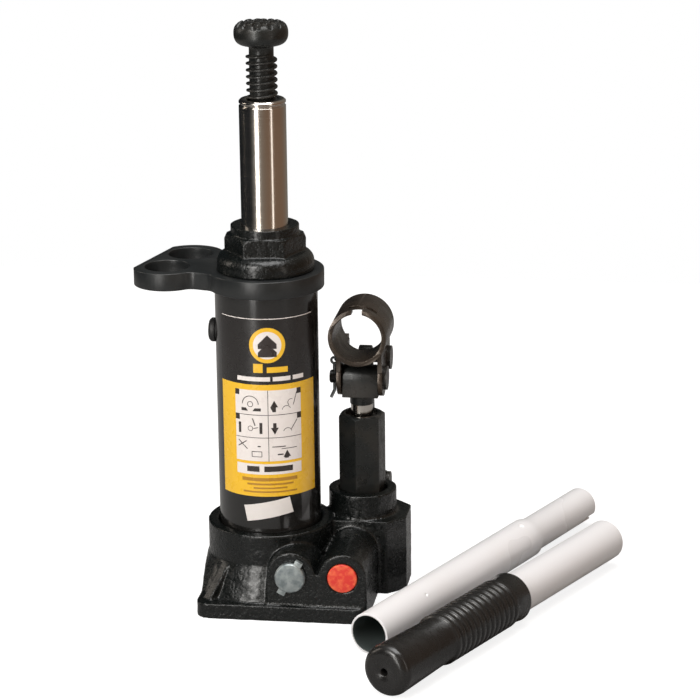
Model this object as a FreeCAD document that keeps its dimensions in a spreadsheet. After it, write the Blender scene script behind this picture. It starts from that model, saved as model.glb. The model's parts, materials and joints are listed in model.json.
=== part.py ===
"""A small hydraulic bottle jack with its two-piece pump handle.

The frame: origin on the ram's axis at floor level, +Z up, +X towards the pump,
-Y towards the two valve ports.  Every length is in millimetres.
"""
import FreeCAD, Part
import math
import os
import re
import Sketcher

# ---------------------------------------------------------------- driving sizes
SIZES = {
    # fits shared by many pieces
    "run_gap": 0.05,
    "loose_gap": 0.3,
    # base casting
    "foot_thickness": 7.0,
    "foot_margin": 0.2,
    "foot_reach": 9.2,
    "foot_front": 39.0,
    "foot_back": 33.0,
    "foot_corner": 6.0,
    "boss_wall": 4.85,
    "rim_height": 36.5,
    "rim_gap": 0.5,
    "skirt_reach": 8.0,
    "skirt_height": 15.0,
    "rib_width": 5.0,
    "rib_reach": 41.0,
    "rib_tip": 0.8,
    "rib_height": 18.0,
    "port_height": 21.0,
    "port_half_width": 11.1,
    "port_set_back": 2.0,
    "valve_place": 15.0,
    "safety_inset": 2.0,
    "block_margin": 0.75,
    "block_reach": 21.4,
    "block_front": 0.5,
    "block_back": 34.0,
    "block_height": 35.0,
    "block_chamfer": 8.0,
    "collar_wall": 4.5,
    "collar_gap": 0.23,
    "collar_height": 46.5,
    # pressure cylinder, reservoir and their seals
    "well_floor": 22.0,
    "gasket_thickness": 1.0,
    "piston_step": 0.5,
    "cylinder_wall": 4.0,
    "cylinder_rise": 3.5,
    "shelf_height": 30.0,
    "reservoir_radius": 23.25,
    "reservoir_wall": 2.0,
    "reservoir_top": 146.5,
    "seal_thickness": 2.0,
    # cap nut and handle bracket
    "bracket_thickness": 8.0,
    "bracket_margin": 3.05,
    "bracket_angle": 165.3,
    "bracket_out": 17.0,
    "storage_gap": 0.8,
    "storage_spacing": 1.85,
    "storage_wall": 5.0,
    "storage_end": 2.9,
    "bracket_shoulder": 6.35,
    "bracket_fillet": 5.0,
    "spigot_length": 16.5,
    "cap_lip": 1.0,
    "cap_skirt": 3.5,
    "cap_shoulder": 8.5,
    "cap_hex_step": 0.6,
    "cap_hex_turn": 7.5,
    "cap_hex_top": 16.5,
    "cap_height": 20.5,
    "cap_nose_wall": 4.9,
    "wiper_height": 3.0,
    "wiper_depth": 2.0,
    # ram and its piston seal
    "ram_radius": 10.5,
    "ram_length": 144.0,
    "ram_rise": 85.5,
    "land_length": 9.0,
    "cup_height": 5.0,
    "washer_height": 1.6,
    "seal_screw_radius": 3.0,
    "seal_screw_head": 5.0,
    "seal_screw_length": 12.0,
    "screw_bore_depth": 64.0,
    # extension screw
    "thread_radius": 7.0,
    "thread_depth": 1.5,
    "thread_pitch": 3.0,
    "screw_depth": 38.0,
    "screw_rise": 24.0,
    "neck_length": 4.0,
    "saddle_height": 10.5,
    "saddle_radius": 12.1,
    "saddle_top_radius": 10.2,
    "saddle_foot_radius": 9.0,
    "groove_pitch": 4.8,
    "groove_width": 1.9,
    "groove_depth": 1.7,
    "stop_ring_height": 1.2,
    # valves in the base
    "valve_bore": 5.0,
    "valve_seat": 15.0,
    "valve_disc": 6.9,
    "valve_disc_thickness": 2.6,
    "valve_ear_reach": 9.0,
    "valve_ear_width": 3.6,
    "valve_ear_turn": 60.0,
    "ball_radius": 2.4,
    "ball_bore": 2.6,
    "oil_hole": 1.5,
    "outlet_rise": 4.0,
    "inlet_rise": 11.0,
    "outlet_setback": 18.0,
    "riser_inset": 14.25,
    "return_inset": 1.8,
    "cover_radius": 6.75,
    "cover_thickness": 2.4,
    "cover_recess": 2.0,
    "check_wire": 0.3,
    # pump
    "pump_out": 17.25,
    "pump_back": 17.0,
    "pump_floor": 24.0,
    "chamber_margin": 1.0,
    "chamber_depth": 16.0,
    "shank_wall": 2.0,
    "hex_turn": 21.9,
    "hex_bottom": 44.0,
    "hex_top": 82.4,
    "packing_width": 2.5,
    "packing_height": 5.5,
    "packing_bottom": 74.0,
    "plunger_radius": 5.0,
    "plunger_bottom": 27.0,
    "plunger_top": 87.0,
    "head_bottom": 91.0,
    "head_play": 0.5,
    "head_round": 6.0,
    "front_pin_height": 99.3,
    "front_pin_radius": 3.0,
    "pin_head_radius": 5.5,
    "pin_head_thickness": 1.6,
    "cotter_wire": 0.75,
    "cotter_bend": 205.0,
    "rear_pin_back": 31.0,
    "rear_pin_height": 105.0,
    "rear_pin_radius": 2.6,
    "ear_inset": 4.75,
    "ear_thickness": 2.0,
    "ear_front_round": 8.3,
    "ear_rear_round": 6.5,
    "socket_lift": 3.15,
    "socket_gap": 1.75,
    "socket_wall": 2.0,
    "socket_front": 3.0,
    "socket_rear": 32.0,
    "notch_width": 4.8,
    "notch_length": 5.0,
    "bayonet_length": 3.5,
    "bayonet_right": 8.5,
    "bayonet_left": 4.5,
    "relief_width": 15.0,
    "relief_start": 4.0,
    "link_thickness": 6.0,
    "link_width": 9.0,
    "link_eye": 5.4,
    "link_eye_hole": 4.0,
    "link_foot_eye": 5.0,
    "link_set_back": 11.5,
    "link_pin_height": 41.0,
    "link_pin_radius": 3.0,
    "lug_thickness": 5.0,
    "lug_gap": 0.5,
    "lug_round": 6.0,
    # filler plug
    "plug_drop": 21.5,
    "plug_head": 5.5,
    "plug_head_thickness": 3.0,
    "plug_shank": 4.85,
    "plug_depth": 4.0,
    # labels
    "label_thickness": 0.12,
    "label_bottom": 53.8,
    "label_drop": 9.1,
    "label_centre": 10.0,
    "label_angle": 121.0,
    "sticker_bottom": 43.6,
    "sticker_width": 21.0,
    "sticker_place": 3.6,
    "sticker_height": 7.6,
    "sticker_turn": 11.0,
    # loose handle sections
    "tube_radius": 9.5,
    "tube_wall": 1.2,
    "lower_length": 197.0,
    "lower_straight": 138.0,
    "swage_run": 6.0,
    "swage_gap": 0.1,
    "swage_slot_width": 4.0,
    "swage_slot_depth": 9.0,
    "swage_slot_turn": 38.0,
    "lock_hole_place": 25.0,
    "lock_hole_length": 4.4,
    "lock_hole_width": 3.2,
    "lower_place_right": 55.5,
    "lower_place_front": 72.4,
    "lower_turn": 65.96,
    "upper_length": 191.0,
    "upper_place_right": 68.3,
    "upper_place_front": 119.1,
    "upper_turn": 64.3,
    "grip_wall": 2.0,
    "grip_length": 103.5,
    "grip_plain": 41.5,
    "grip_end_wall": 4.0,
    "grip_end_round": 3.0,
    "grip_vent": 1.6,
    "rib_count": 13.0,
    "rib_pitch": 4.0,
    "rib_depth": 1.1,
}

doc = FreeCAD.newDocument("bottle_jack")
sheet = doc.addObject("Spreadsheet::Sheet", "sizes")
for row, (alias, value) in enumerate(SIZES.items(), start=1):
    sheet.set("A%d" % row, alias)
    sheet.set("B%d" % row, str(value))
    sheet.setAlias("B%d" % row, alias)
doc.recompute()

# Sizes that follow from others, each a formula of the driving sizes.
DERIVED = {
    # cylinder, reservoir and base
    "cylinder_bore": "ram_radius + piston_step",
    "cylinder_outer": "cylinder_bore + cylinder_wall",
    "cylinder_bottom": "well_floor + gasket_thickness",
    "cylinder_top": "reservoir_top + cylinder_rise",
    "reservoir_inner": "reservoir_radius - reservoir_wall",
    "reservoir_bottom": "shelf_height + seal_thickness",
    "boss_radius": "reservoir_radius + rim_gap + boss_wall",
    "foot_left": "boss_radius + foot_margin",
    "foot_right": "pump_place + foot_reach",
    "port_front": "foot_front - port_set_back",
    "plug_height": "reservoir_top - plug_drop",
    "label_top": "reservoir_top - label_drop",
    # cap and bracket
    "bracket_top": "reservoir_top + bracket_thickness",
    "spigot_radius": "reservoir_inner - 5 * run_gap",
    "spigot_bottom": "bracket_top - spigot_length",
    "cap_top": "bracket_top + cap_height",
    "cap_radius": "spigot_radius + cap_lip",
    "cap_nose": "ram_radius + cap_nose_wall",
    "cap_hex_flats": "2 * (cap_nose + cap_hex_step)",
    "bracket_ring": "reservoir_radius + bracket_margin",
    "bracket_reach": "bracket_ring + bracket_out",
    "bracket_hole": "tube_radius + storage_gap",
    "bracket_spread": "bracket_hole + storage_spacing",
    "bracket_lobe": "bracket_hole + storage_wall",
    "bracket_end": "bracket_reach + bracket_hole + storage_end",
    "bracket_neck": "bracket_spread + bracket_shoulder",
    # ram and screw
    "ram_bottom": "ram_top - ram_length",
    "ram_top": "reservoir_top + ram_rise",
    "screw_bottom": "ram_top - screw_depth",
    "saddle_bottom": "ram_top + screw_rise",
    "thread_core": "thread_radius - thread_depth",
    "screw_bore": "thread_radius + 2 * run_gap",
    # oil ways between reservoir, pump and cylinder
    "pressure_height": "chamber_floor + outlet_rise",
    "suction_height": "chamber_floor + inlet_rise",
    "riser": "reservoir_radius - riser_inset",
    "pump_place": "reservoir_radius + pump_out",
    "pump_reach": "sqrt(pump_place * pump_place + pump_back * pump_back)",
    "outlet_seat": "pump_reach - outlet_setback",
    "inlet_seat": "block_left",
    "block_left": "reservoir_radius + block_margin",
    "block_right": "pump_place + block_reach",
    "safety_place": "pump_place - safety_inset",
    # pump and handle
    "shank_radius": "packing_radius + shank_wall",
    "packing_radius": "plunger_radius + packing_width",
    "chamber_radius": "plunger_radius + chamber_margin",
    "chamber_floor": "pump_floor - chamber_depth",
    "plunger_bore": "plunger_radius + run_gap",
    "collar_bore": "hex_flats / 2 / cos(30) + collar_gap",
    "hex_flats": "2 * shank_radius",
    "collar_radius": "collar_bore + collar_wall",
    "link_pin_back": "pump_back + 2 * plunger_radius + link_set_back",
    "ear_gap": "2 * (socket_radius - ear_inset)",
    "ear_outer": "ear_gap / 2 + ear_thickness",
    "head_width": "ear_gap - head_play",
    "tube_inner": "tube_radius - tube_wall",
    "swage_radius": "tube_inner - swage_gap",
    "grip_radius": "tube_radius + grip_wall",
    "socket_bore": "tube_radius + socket_gap",
    "socket_radius": "socket_bore + socket_wall",
    "socket_height": "front_pin_height + head_round + socket_lift + socket_radius",
}

TURNS = {
    "up": FreeCAD.Rotation(),
    "right": FreeCAD.Rotation(FreeCAD.Vector(0, 1, 0), 90),
    "left": FreeCAD.Rotation(FreeCAD.Vector(0, 1, 0), -90),
    "front": FreeCAD.Rotation(FreeCAD.Vector(1, 0, 0), 90),
    "back": FreeCAD.Rotation(FreeCAD.Vector(1, 0, 0), -90),
}
UPRIGHT = FreeCAD.Vector(0, 0, 1)
CROSSWISE = FreeCAD.Vector(0, 1, 0)
NODES = []


# ---------------------------------------------------------------- sheet helpers
def bound(formula):
    """The formula with every size name pointing at its cell in the sheet.

    A derived size is written out as its own formula.
    """
    def point_at_cell(word):
        name = word.group()
        if name in DERIVED:
            return "(" + bound(DERIVED[name]) + ")"
        return "sizes." + name if name in SIZES else name
    return re.sub(r"[a-z][a-z_]*", point_at_cell, str(formula))


def number(formula):
    """The formula's present value."""
    return float(sheet.evalExpression(bound(formula)))


def bind(thing, **formulas):
    for path, formula in formulas.items():
        thing.setExpression(path, bound(formula))


def place(thing, at=(0, 0, 0), turn="up"):
    """Puts a piece at three formulas, turned to point its own Z one way."""
    rotation = TURNS[turn] if isinstance(turn, str) else turn
    thing.Placement = FreeCAD.Placement(FreeCAD.Vector(), rotation)
    for letter, formula in zip("xyz", at):
        thing.setExpression("Placement.Base." + letter, bound(formula))


def turn_about(axis, angle):
    return FreeCAD.Rotation(axis, number(angle))


def node(thing, label):
    """Marks a piece as a sub-part that is written to its own file."""
    thing.Label = label
    NODES.append(thing)
    return thing


# ---------------------------------------------------------------- solid helpers
def cylinder(radius, height, at=(0, 0, 0), turn="up", angle=None):
    piece = doc.addObject("Part::Cylinder", "cylinder")
    bind(piece, Radius=radius, Height=height)
    if angle:
        bind(piece, Angle=angle)
    place(piece, at, turn)
    return piece


def box(length, width, height, at=(0, 0, 0), turn="up"):
    piece = doc.addObject("Part::Box", "box")
    bind(piece, Length=length, Width=width, Height=height)
    place(piece, at, turn)
    return piece


def ball(radius, at):
    piece = doc.addObject("Part::Sphere", "ball")
    bind(piece, Radius=radius)
    place(piece, at)
    return piece


def hexagon(flats, height, at, turn_angle):
    piece = doc.addObject("Part::Prism", "hexagon")
    piece.Polygon = 6
    bind(piece, Circumradius="(%s) / 2 / cos(30)" % flats, Height=height)
    place(piece, at, FreeCAD.Rotation(FreeCAD.Vector(0, 0, 1), number(turn_angle)))
    piece.setExpression("Placement.Rotation.Angle", bound(turn_angle))
    return piece


def fuse(*pieces):
    joined = doc.addObject("Part::MultiFuse", "joined")
    joined.Shapes = list(pieces)
    joined.Refine = True
    return joined


def common(*pieces):
    shared = doc.addObject("Part::MultiCommon", "shared")
    shared.Shapes = list(pieces)
    return shared


def cut(base, *tools):
    """The base with each tool taken away in turn."""
    for tool in tools:
        result = doc.addObject("Part::Cut", "cut")
        result.Base = base
        result.Tool = tool
        result.Refine = True
        base = result
    return base


def origin_plane(body, role):
    return next(f for f in body.Origin.OriginFeatures if f.Role == role)


def fix_point(sketch, edge, end, across, along):
    """Ties one end of a sketch edge to two formulas."""
    for kind, axis, formula in (("DistanceX", -2, across), ("DistanceY", -1, along)):
        value = number(formula)
        if abs(value) < 1e-9:
            sketch.addConstraint(Sketcher.Constraint("PointOnObject", edge, end, axis))
            continue
        index = sketch.addConstraint(Sketcher.Constraint(kind, -1, 1, edge, end, value))
        sketch.setExpression("Constraints[%d]" % index, bound(formula))


def arc_between(start, finish, radius, side):
    """An arc of a given radius; side is +1 when its centre lies to the left."""
    middle = (start + finish) * 0.5
    chord = finish - start
    rise = math.sqrt(max(radius * radius - (chord.Length / 2) ** 2, 0.0))
    left = FreeCAD.Vector(-chord.y, chord.x, 0).normalize()
    centre = middle + left * (rise * side)
    crown = centre - left * (radius * side)
    return Part.Arc(start, crown, finish)


def draw_outline(sketch, outline):
    """A closed outline of (across, along) formulas.

    A third entry is the radius of an arc to the next point, and a fourth its side.
    """
    corners = [FreeCAD.Vector(number(p[0]), number(p[1]), 0) for p in outline]
    for index, point in enumerate(outline):
        start = corners[index]
        finish = corners[(index + 1) % len(corners)]
        if len(point) == 2:
            edge = sketch.addGeometry(Part.LineSegment(start, finish), False)
            fix_point(sketch, edge, 1, point[0], point[1])
        else:
            arc = arc_between(start, finish, number(point[2]), point[3])
            sketch.addGeometry(arc, False)
    for index, point in enumerate(outline):
        tie_corner(sketch, outline, index)
        if len(point) > 2:
            radius = Sketcher.Constraint("Radius", index, number(point[2]))
            place_in_list = sketch.addConstraint(radius)
            sketch.setExpression("Constraints[%d]" % place_in_list, bound(point[2]))


def tie_corner(sketch, outline, index):
    """Joins the end of one outline edge to the start of the next."""
    following = (index + 1) % len(outline)
    end = arc_end(sketch, index, outline, following)
    start = arc_end(sketch, following, outline, following)
    sketch.addConstraint(Sketcher.Constraint("Coincident", index, end, following, start))
    if len(outline[following]) > 2:
        fix_point(sketch, following, start, outline[following][0], outline[following][1])


def arc_end(sketch, edge, outline, corner):
    """Which end of a sketch edge lies on an outline corner."""
    target = FreeCAD.Vector(number(outline[corner][0]), number(outline[corner][1]), 0)
    first = sketch.getPoint(edge, 1)
    second = sketch.getPoint(edge, 2)
    return 1 if first.distanceToPoint(target) < second.distanceToPoint(target) else 2


def sketch_body(outline, role):
    body = doc.addObject("PartDesign::Body", "body")
    sketch = body.newObject("Sketcher::SketchObject", "outline")
    sketch.AttachmentSupport = [(origin_plane(body, role), "")]
    sketch.MapMode = "FlatFace"
    draw_outline(sketch, outline)
    return body, sketch


def turned(outline, at=(0, 0, 0), turn="up"):
    """A body revolved about its own Z from a (radius, height) outline."""
    body, sketch = sketch_body(outline, "XZ_Plane")
    feature = body.newObject("PartDesign::Revolution", "turn")
    feature.Profile = sketch
    feature.ReferenceAxis = (sketch, ["V_Axis"])
    feature.Angle = 360
    body.Tip = feature
    place(body, at, turn)
    return body


def padded(outline, role, length, at=(0, 0, 0), turn="up", middle=False):
    """A body padded from an outline on one of its origin planes."""
    body, sketch = sketch_body(outline, role)
    feature = body.newObject("PartDesign::Pad", "pad")
    feature.Profile = sketch
    feature.SideType = "Symmetric" if middle else "One side"
    bind(feature, Length=length)
    body.Tip = feature
    place(body, at, turn)
    return body


def ring(inner, outer, bottom, height, at=("0", "0"), turn="up"):
    """A plain ring: a turned rectangle."""
    top = "(%s) + (%s)" % (bottom, height)
    outline = [(inner, bottom), (outer, bottom), (outer, top), (inner, top)]
    return turned(outline, (at[0], at[1], 0), turn)


def solid_feature(shape, label):
    """A sub-part whose shape is worked out by Part's own functions."""
    feature = doc.addObject("Part::Feature", label)
    feature.Shape = shape
    return node(feature, label)


def coil_spring(label, radius, length, turns, at, turn):
    """A round-wire compression spring along its own Z."""
    wire = number("check_wire")
    rise = number(length) - 2 * wire
    mean = number(radius) - wire
    path = Part.makeHelix(rise / turns, rise, mean)
    start = Part.Circle(FreeCAD.Vector(mean, 0, 0), FreeCAD.Vector(0, 1, 0), wire)
    profile = Part.Wire([start.toShape()])
    spring = Part.Wire(path).makePipeShell([profile], True, True)
    feature = solid_feature(spring, label)
    spot = FreeCAD.Vector(*[number(formula) for formula in at])
    rotation = TURNS[turn] if isinstance(turn, str) else turn
    lift = rotation.multVec(FreeCAD.Vector(0, 0, wire))
    feature.Placement = FreeCAD.Placement(spot + lift, rotation)
    return feature


# ---------------------------------------------------------------- base casting
def foot_outline():
    """The foot's plan: a rounded rectangle, drawn anticlockwise."""
    left, right = "-foot_left", "foot_right"
    front, back = "-foot_front", "foot_back"
    turn = "foot_corner"
    return [
        (left + " + " + turn, front),
        (right + " - " + turn, front, turn, 1),
        (right, front + " + " + turn),
        (right, back + " - " + turn, turn, 1),
        (right + " - " + turn, back),
        (left + " + " + turn, back, turn, 1),
        (left, back + " - " + turn),
        (left, front + " + " + turn, turn, 1),
    ]


def block_outline():
    """The pump block's plan, with its right corners cut off."""
    return [
        ("block_left", "block_front"),
        ("block_right - block_chamfer", "block_front"),
        ("block_right", "block_front + block_chamfer"),
        ("block_right", "block_back - block_chamfer"),
        ("block_right - block_chamfer", "block_back"),
        ("block_left", "block_back"),
    ]


def port_block(across, back):
    """A port's arched block, from its front face back to another part."""
    depth = "port_front + (%s)" % back
    arch = cylinder("port_half_width", depth, (across, "-port_front", "port_height"), "back")
    left = "%s - port_half_width" % across
    body = box("2 * port_half_width", depth, "port_height", (left, "-port_front", 0))
    return fuse(arch, body)


def diagonal_rib():
    """The rib from the boss down to the foot's front left corner."""
    inner = "boss_radius - 3"
    outline = [
        (inner, "0"),
        ("rib_reach", "0"),
        ("rib_reach", "foot_thickness + rib_tip"),
        (inner, "foot_thickness + rib_height"),
    ]
    corner = math.atan2(-number("foot_front"), -number("foot_left"))
    turn = FreeCAD.Rotation(FreeCAD.Vector(0, 0, 1), math.degrees(corner))
    return padded(outline, "XZ_Plane", "rib_width", turn=turn, middle=True)


def skirt():
    """The flare where the boss meets the foot, kept inside the foot's plan."""
    cone = doc.addObject("Part::Cone", "skirt")
    bind(cone, Radius1="boss_radius + skirt_reach", Radius2="boss_radius", Height="skirt_height")
    place(cone, (0, 0, "foot_thickness"))
    plan = padded(foot_outline(), "XY_Plane", "foot_thickness + skirt_height")
    return common(cone, plan)


def link_lugs():
    """Two upright lugs behind the collar that hold the link's lower pin."""
    lugs = []
    for side in ("-1", "1"):
        inner = "link_thickness / 2 + lug_gap"
        near = inner if side == "1" else "-(%s + lug_thickness)" % inner
        left = "pump_place + (%s)" % near
        eye = cylinder("lug_round", "lug_thickness", (left, "link_pin_back", "link_pin_height"), "right")
        depth = "link_pin_back + lug_round - block_back + 1"
        start = (left, "block_back - 1", 0)
        lugs.append(fuse(eye, box("lug_thickness", depth, "link_pin_height", start)))
    return lugs


def base_casting():
    solid = fuse(
        padded(foot_outline(), "XY_Plane", "foot_thickness"),
        cylinder("boss_radius", "rim_height"),
        skirt(),
        diagonal_rib(),
        port_block("valve_place", "0"),
        port_block("safety_place", "block_front + 1"),
        padded(block_outline(), "XY_Plane", "block_height"),
        cylinder("collar_radius", "collar_height", ("pump_place", "pump_back", 0)),
        *link_lugs()
    )
    return node(cut(solid, *(main_wells() + oil_ways() + port_bores() + lug_holes())), "base_casting")


def main_wells():
    """The stepped wells that take the reservoir, the pressure cylinder and the pump."""
    pump = ("pump_place", "pump_back")
    mouth = "reservoir_radius + rim_gap"
    return [
        cylinder(mouth, "rim_height", (0, 0, "rim_height - 2")),
        cylinder("reservoir_radius", "rim_height", (0, 0, "shelf_height")),
        cylinder("cylinder_outer", "rim_height", (0, 0, "well_floor")),
        cylinder("collar_bore", "collar_height", pump + ("hex_bottom - 0.5",)),
        cylinder("shank_radius", "collar_height", pump + ("pump_floor - gasket_thickness",)),
        cylinder("chamber_radius", "collar_height", pump + ("chamber_floor",)),
    ]




def pump_direction():
    """Rotation that points a piece's Z from the ram's axis to the pump's axis."""
    angle = math.degrees(math.atan2(number("pump_back"), number("pump_place")))
    return FreeCAD.Rotation(angle, 90, 0)


def oil_ways():
    """The drillings between reservoir, pump and pressure cylinder."""
    toward_pump = pump_direction()
    drop = "well_floor - pressure_height + oil_hole"
    suction_run = "pump_place - riser"
    inlet_end = ("inlet_seat", "pump_back", "suction_height")
    valve_line = "valve_place * pump_back / pump_place"
    valve_foot = ("valve_place", valve_line, "pressure_height")
    return_foot = ("valve_place - return_inset", "return_inset - valve_seat", "port_height")
    release_run = "valve_seat - 4 + %s" % valve_line
    return [
        cylinder("ball_bore", "outlet_seat", (0, 0, "pressure_height"), toward_pump),
        cylinder("oil_hole", "pump_reach", (0, 0, "pressure_height"), toward_pump),
        cylinder("ball_bore", drop, (0, 0, "pressure_height")),
        cylinder("oil_hole", suction_run, ("riser", "pump_back", "suction_height"), "right"),
        cylinder("ball_bore", "pump_place - inlet_seat", inlet_end, "right"),
        cylinder("oil_hole", "shelf_height - suction_height + 1", ("riser", "pump_back", "suction_height")),
        cylinder("oil_hole", release_run, ("valve_place", "4 - valve_seat", "port_height"), "back"),
        cylinder("oil_hole", "port_height - pressure_height", valve_foot),
        cylinder("oil_hole", "shelf_height - port_height + 1", return_foot),
    ]


def port_bores():
    """The release valve's stepped bore and the safety valve's."""
    valve = ("valve_place", "-port_front", "port_height")
    safety = ("safety_place", "-port_front", "port_height")
    return [
        cylinder("valve_bore", "port_front - valve_seat", valve, "back"),
        cylinder("ball_bore", "port_front - valve_seat + 4", valve, "back"),
        cylinder("valve_bore", "port_front - valve_seat + 1", safety, "back"),
        cylinder("oil_hole", "port_front + pump_back - chamber_radius + 1", safety, "back"),
        cylinder("cover_radius + run_gap", "cover_recess", safety, "back"),
    ]


def lug_holes():
    span = "2 * (link_thickness / 2 + lug_gap + lug_thickness) + 2"
    left = "pump_place - (%s) / 2" % span
    return [cylinder("link_pin_radius", span, (left, "link_pin_back", "link_pin_height"), "right")]


# ---------------------------------------------------------------- main cylinder
def pressure_side():
    node(ring("cylinder_bore", "cylinder_outer", "well_floor", "gasket_thickness"), "cylinder_gasket")
    length = "cylinder_top - cylinder_bottom"
    node(ring("cylinder_bore", "cylinder_outer", "cylinder_bottom", length), "pressure_cylinder")


def reservoir():
    length = "reservoir_top - reservoir_bottom"
    tube = ring("reservoir_inner", "reservoir_radius", "reservoir_bottom", length)
    hole_start = ("-(reservoir_radius + 1)", 0, "plug_height")
    hole = cylinder("plug_shank + loose_gap", "2 * reservoir_wall + 1", hole_start, "right")
    node(cut(tube, hole), "reservoir_tube")
    lower_seal = ring("reservoir_inner", "reservoir_radius", "shelf_height", "seal_thickness")
    node(lower_seal, "reservoir_lower_seal")
    seal_inner = "spigot_radius - 1.5"
    node(ring(seal_inner, "reservoir_inner", "spigot_bottom + 3", "seal_thickness"), "reservoir_upper_seal")


def cap_nut():
    """Dome, hexagon and nose over a threaded spigot, bored for the ram."""
    shoulder = "cap_shoulder - cap_skirt"
    crown = "cap_radius - (%s)" % shoulder
    groove_bottom = "spigot_bottom + 3"
    groove_top = groove_bottom + " + seal_thickness"
    groove_radius = "spigot_radius - 1.5"
    wiper_bottom = "cap_top - wiper_height - 2"
    body = turned([
        ("cylinder_outer", "spigot_bottom"),
        ("spigot_radius", "spigot_bottom"),
        ("spigot_radius", groove_bottom),
        (groove_radius, groove_bottom),
        (groove_radius, groove_top),
        ("spigot_radius", groove_top),
        ("spigot_radius", "bracket_top"),
        ("cap_radius", "bracket_top"),
        ("cap_radius", "bracket_top + cap_skirt", shoulder, 1),
        (crown, "bracket_top + cap_shoulder"),
        ("cap_nose", "bracket_top + cap_shoulder"),
        ("cap_nose", "cap_top"),
        ("ram_radius + run_gap", "cap_top"),
        ("ram_radius + run_gap", "cylinder_top"),
        ("cylinder_outer", "cylinder_top"),
    ])
    hexagon_height = "cap_hex_top - cap_shoulder + 2"
    nut = hexagon("cap_hex_flats", hexagon_height, (0, 0, "bracket_top + cap_shoulder - 2"), "cap_hex_turn")
    slope = doc.addObject("Part::Cone", "slope")
    slope_foot = "cap_hex_flats / 2 / cos(30) + cap_shoulder - 2"
    bind(slope, Radius1=slope_foot, Radius2="cap_nose", Height="cap_height")
    place(slope, (0, 0, "bracket_top"))
    bore = cylinder("ram_radius + run_gap", "2 * cap_height", (0, 0, "bracket_top"))
    wiper_inner = "ram_radius + run_gap"
    wiper_outer = wiper_inner + " + wiper_depth"
    wiper_seat = cylinder(wiper_outer, "wiper_height", (0, 0, wiper_bottom))
    node(cut(fuse(body, common(nut, slope)), bore, wiper_seat), "cap_nut")
    node(ring(wiper_inner, wiper_outer, wiper_bottom, "wiper_height"), "ram_wiper")


def storage_pair(radius):
    """Two upright cylinders on the plate's storage holes."""
    thick = "bracket_thickness"
    spots = [("bracket_reach", side + " * bracket_spread", 0) for side in ("-1", "1")]
    return [cylinder(radius, thick, spot) for spot in spots]


def handle_bracket():
    """The flat plate under the cap, with two holes that store the handle."""
    thick = "bracket_thickness"
    web = box("bracket_end", "2 * bracket_spread", thick, (0, "-bracket_spread", 0))
    neck = box("bracket_reach", "2 * bracket_neck", thick, (0, "-bracket_neck", 0))
    corner = ("-bracket_ring", "-2 * bracket_ring", 0)
    limit = box("bracket_end + bracket_ring", "4 * bracket_ring", thick, corner)
    ring_and_lobes = fuse(cylinder("bracket_ring", thick), web, neck, *storage_pair("bracket_lobe"))
    plan = common(ring_and_lobes, limit)
    doc.recompute()
    rounded = doc.addObject("Part::Fillet", "rounded")
    rounded.Base = plan
    rounded.Edges = corner_edges(plan.Shape, number("bracket_fillet"))
    plate = cut(rounded, cylinder("spigot_radius", thick), *storage_pair("bracket_hole"))
    place(plate, (0, 0, "reservoir_top"), turn_about(UPRIGHT, "bracket_angle"))
    plate.setExpression("Placement.Rotation.Angle", bound("bracket_angle"))
    node(plate, "handle_bracket")


def corner_edges(shape, radius):
    """The plate's upright concave corners, where its outlines cross."""
    chosen = []
    for index, edge in enumerate(shape.Edges, start=1):
        upright = isinstance(edge.Curve, Part.Line) and abs(edge.tangentAt(edge.FirstParameter).z) > 0.99
        place_out = edge.CenterOfMass
        at_neck = abs(abs(place_out.y) - number("bracket_neck")) < 0.01
        if upright and at_neck:
            chosen.append((index, radius, radius))
    return chosen


# ---------------------------------------------------------------- ram and screw
def ram_set():
    bore_bottom = "ram_top - screw_bore_depth"
    land_top = "ram_bottom + land_length"
    land_radius = "cylinder_bore - run_gap"
    tapped = "ram_bottom + seal_screw_length - washer_height - cup_height"
    node(turned([
        ("seal_screw_radius", "ram_bottom"),
        (land_radius, "ram_bottom"),
        (land_radius, land_top),
        ("ram_radius", land_top),
        ("ram_radius", "ram_top - 3"),
        ("ram_radius - 0.6", "ram_top - 2.6"),
        ("ram_radius - 0.6", "ram_top - 2"),
        ("ram_radius", "ram_top - 1.6"),
        ("ram_radius", "ram_top - 0.8"),
        ("ram_radius - 0.8", "ram_top"),
        ("screw_bore", "ram_top"),
        ("screw_bore", bore_bottom),
        ("0", bore_bottom),
        ("0", tapped),
        ("seal_screw_radius", tapped),
    ]), "ram")
    cup_bottom = "ram_bottom - cup_height"
    washer_bottom = cup_bottom + " - washer_height"
    node(ring("seal_screw_radius", land_radius, cup_bottom, "cup_height"), "ram_cup_seal")
    node(ring("seal_screw_radius", "ram_radius - 1", washer_bottom, "washer_height"), "ram_seal_washer")
    head_bottom = washer_bottom + " - seal_screw_radius"
    node(turned([
        ("0", head_bottom),
        ("seal_screw_head", head_bottom),
        ("seal_screw_head", washer_bottom),
        ("seal_screw_radius", washer_bottom),
        ("seal_screw_radius", tapped),
        ("0", tapped),
    ]), "ram_seal_screw")


def screw_thread():
    """One trapezoidal ridge wound round the core, as a solid."""
    pitch = number("thread_pitch")
    core = number("thread_core") - 0.2
    crest = number("thread_radius")
    low = number("screw_bottom + stop_ring_height + 3")
    high = number("saddle_bottom - neck_length")
    root_half = 0.37 * pitch
    crest_half = 0.17 * pitch
    points = [(core, -root_half), (crest, -crest_half), (crest, crest_half), (core, root_half)]
    corners = [FreeCAD.Vector(across, 0, along) for across, along in points]
    profile = Part.makePolygon(corners + corners[:1])
    path = Part.makeHelix(pitch, high - low, core)
    ridge = Part.Wire(path).makePipeShell([profile], True, True)
    ridge.translate(FreeCAD.Vector(0, 0, low))
    return ridge


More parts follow.
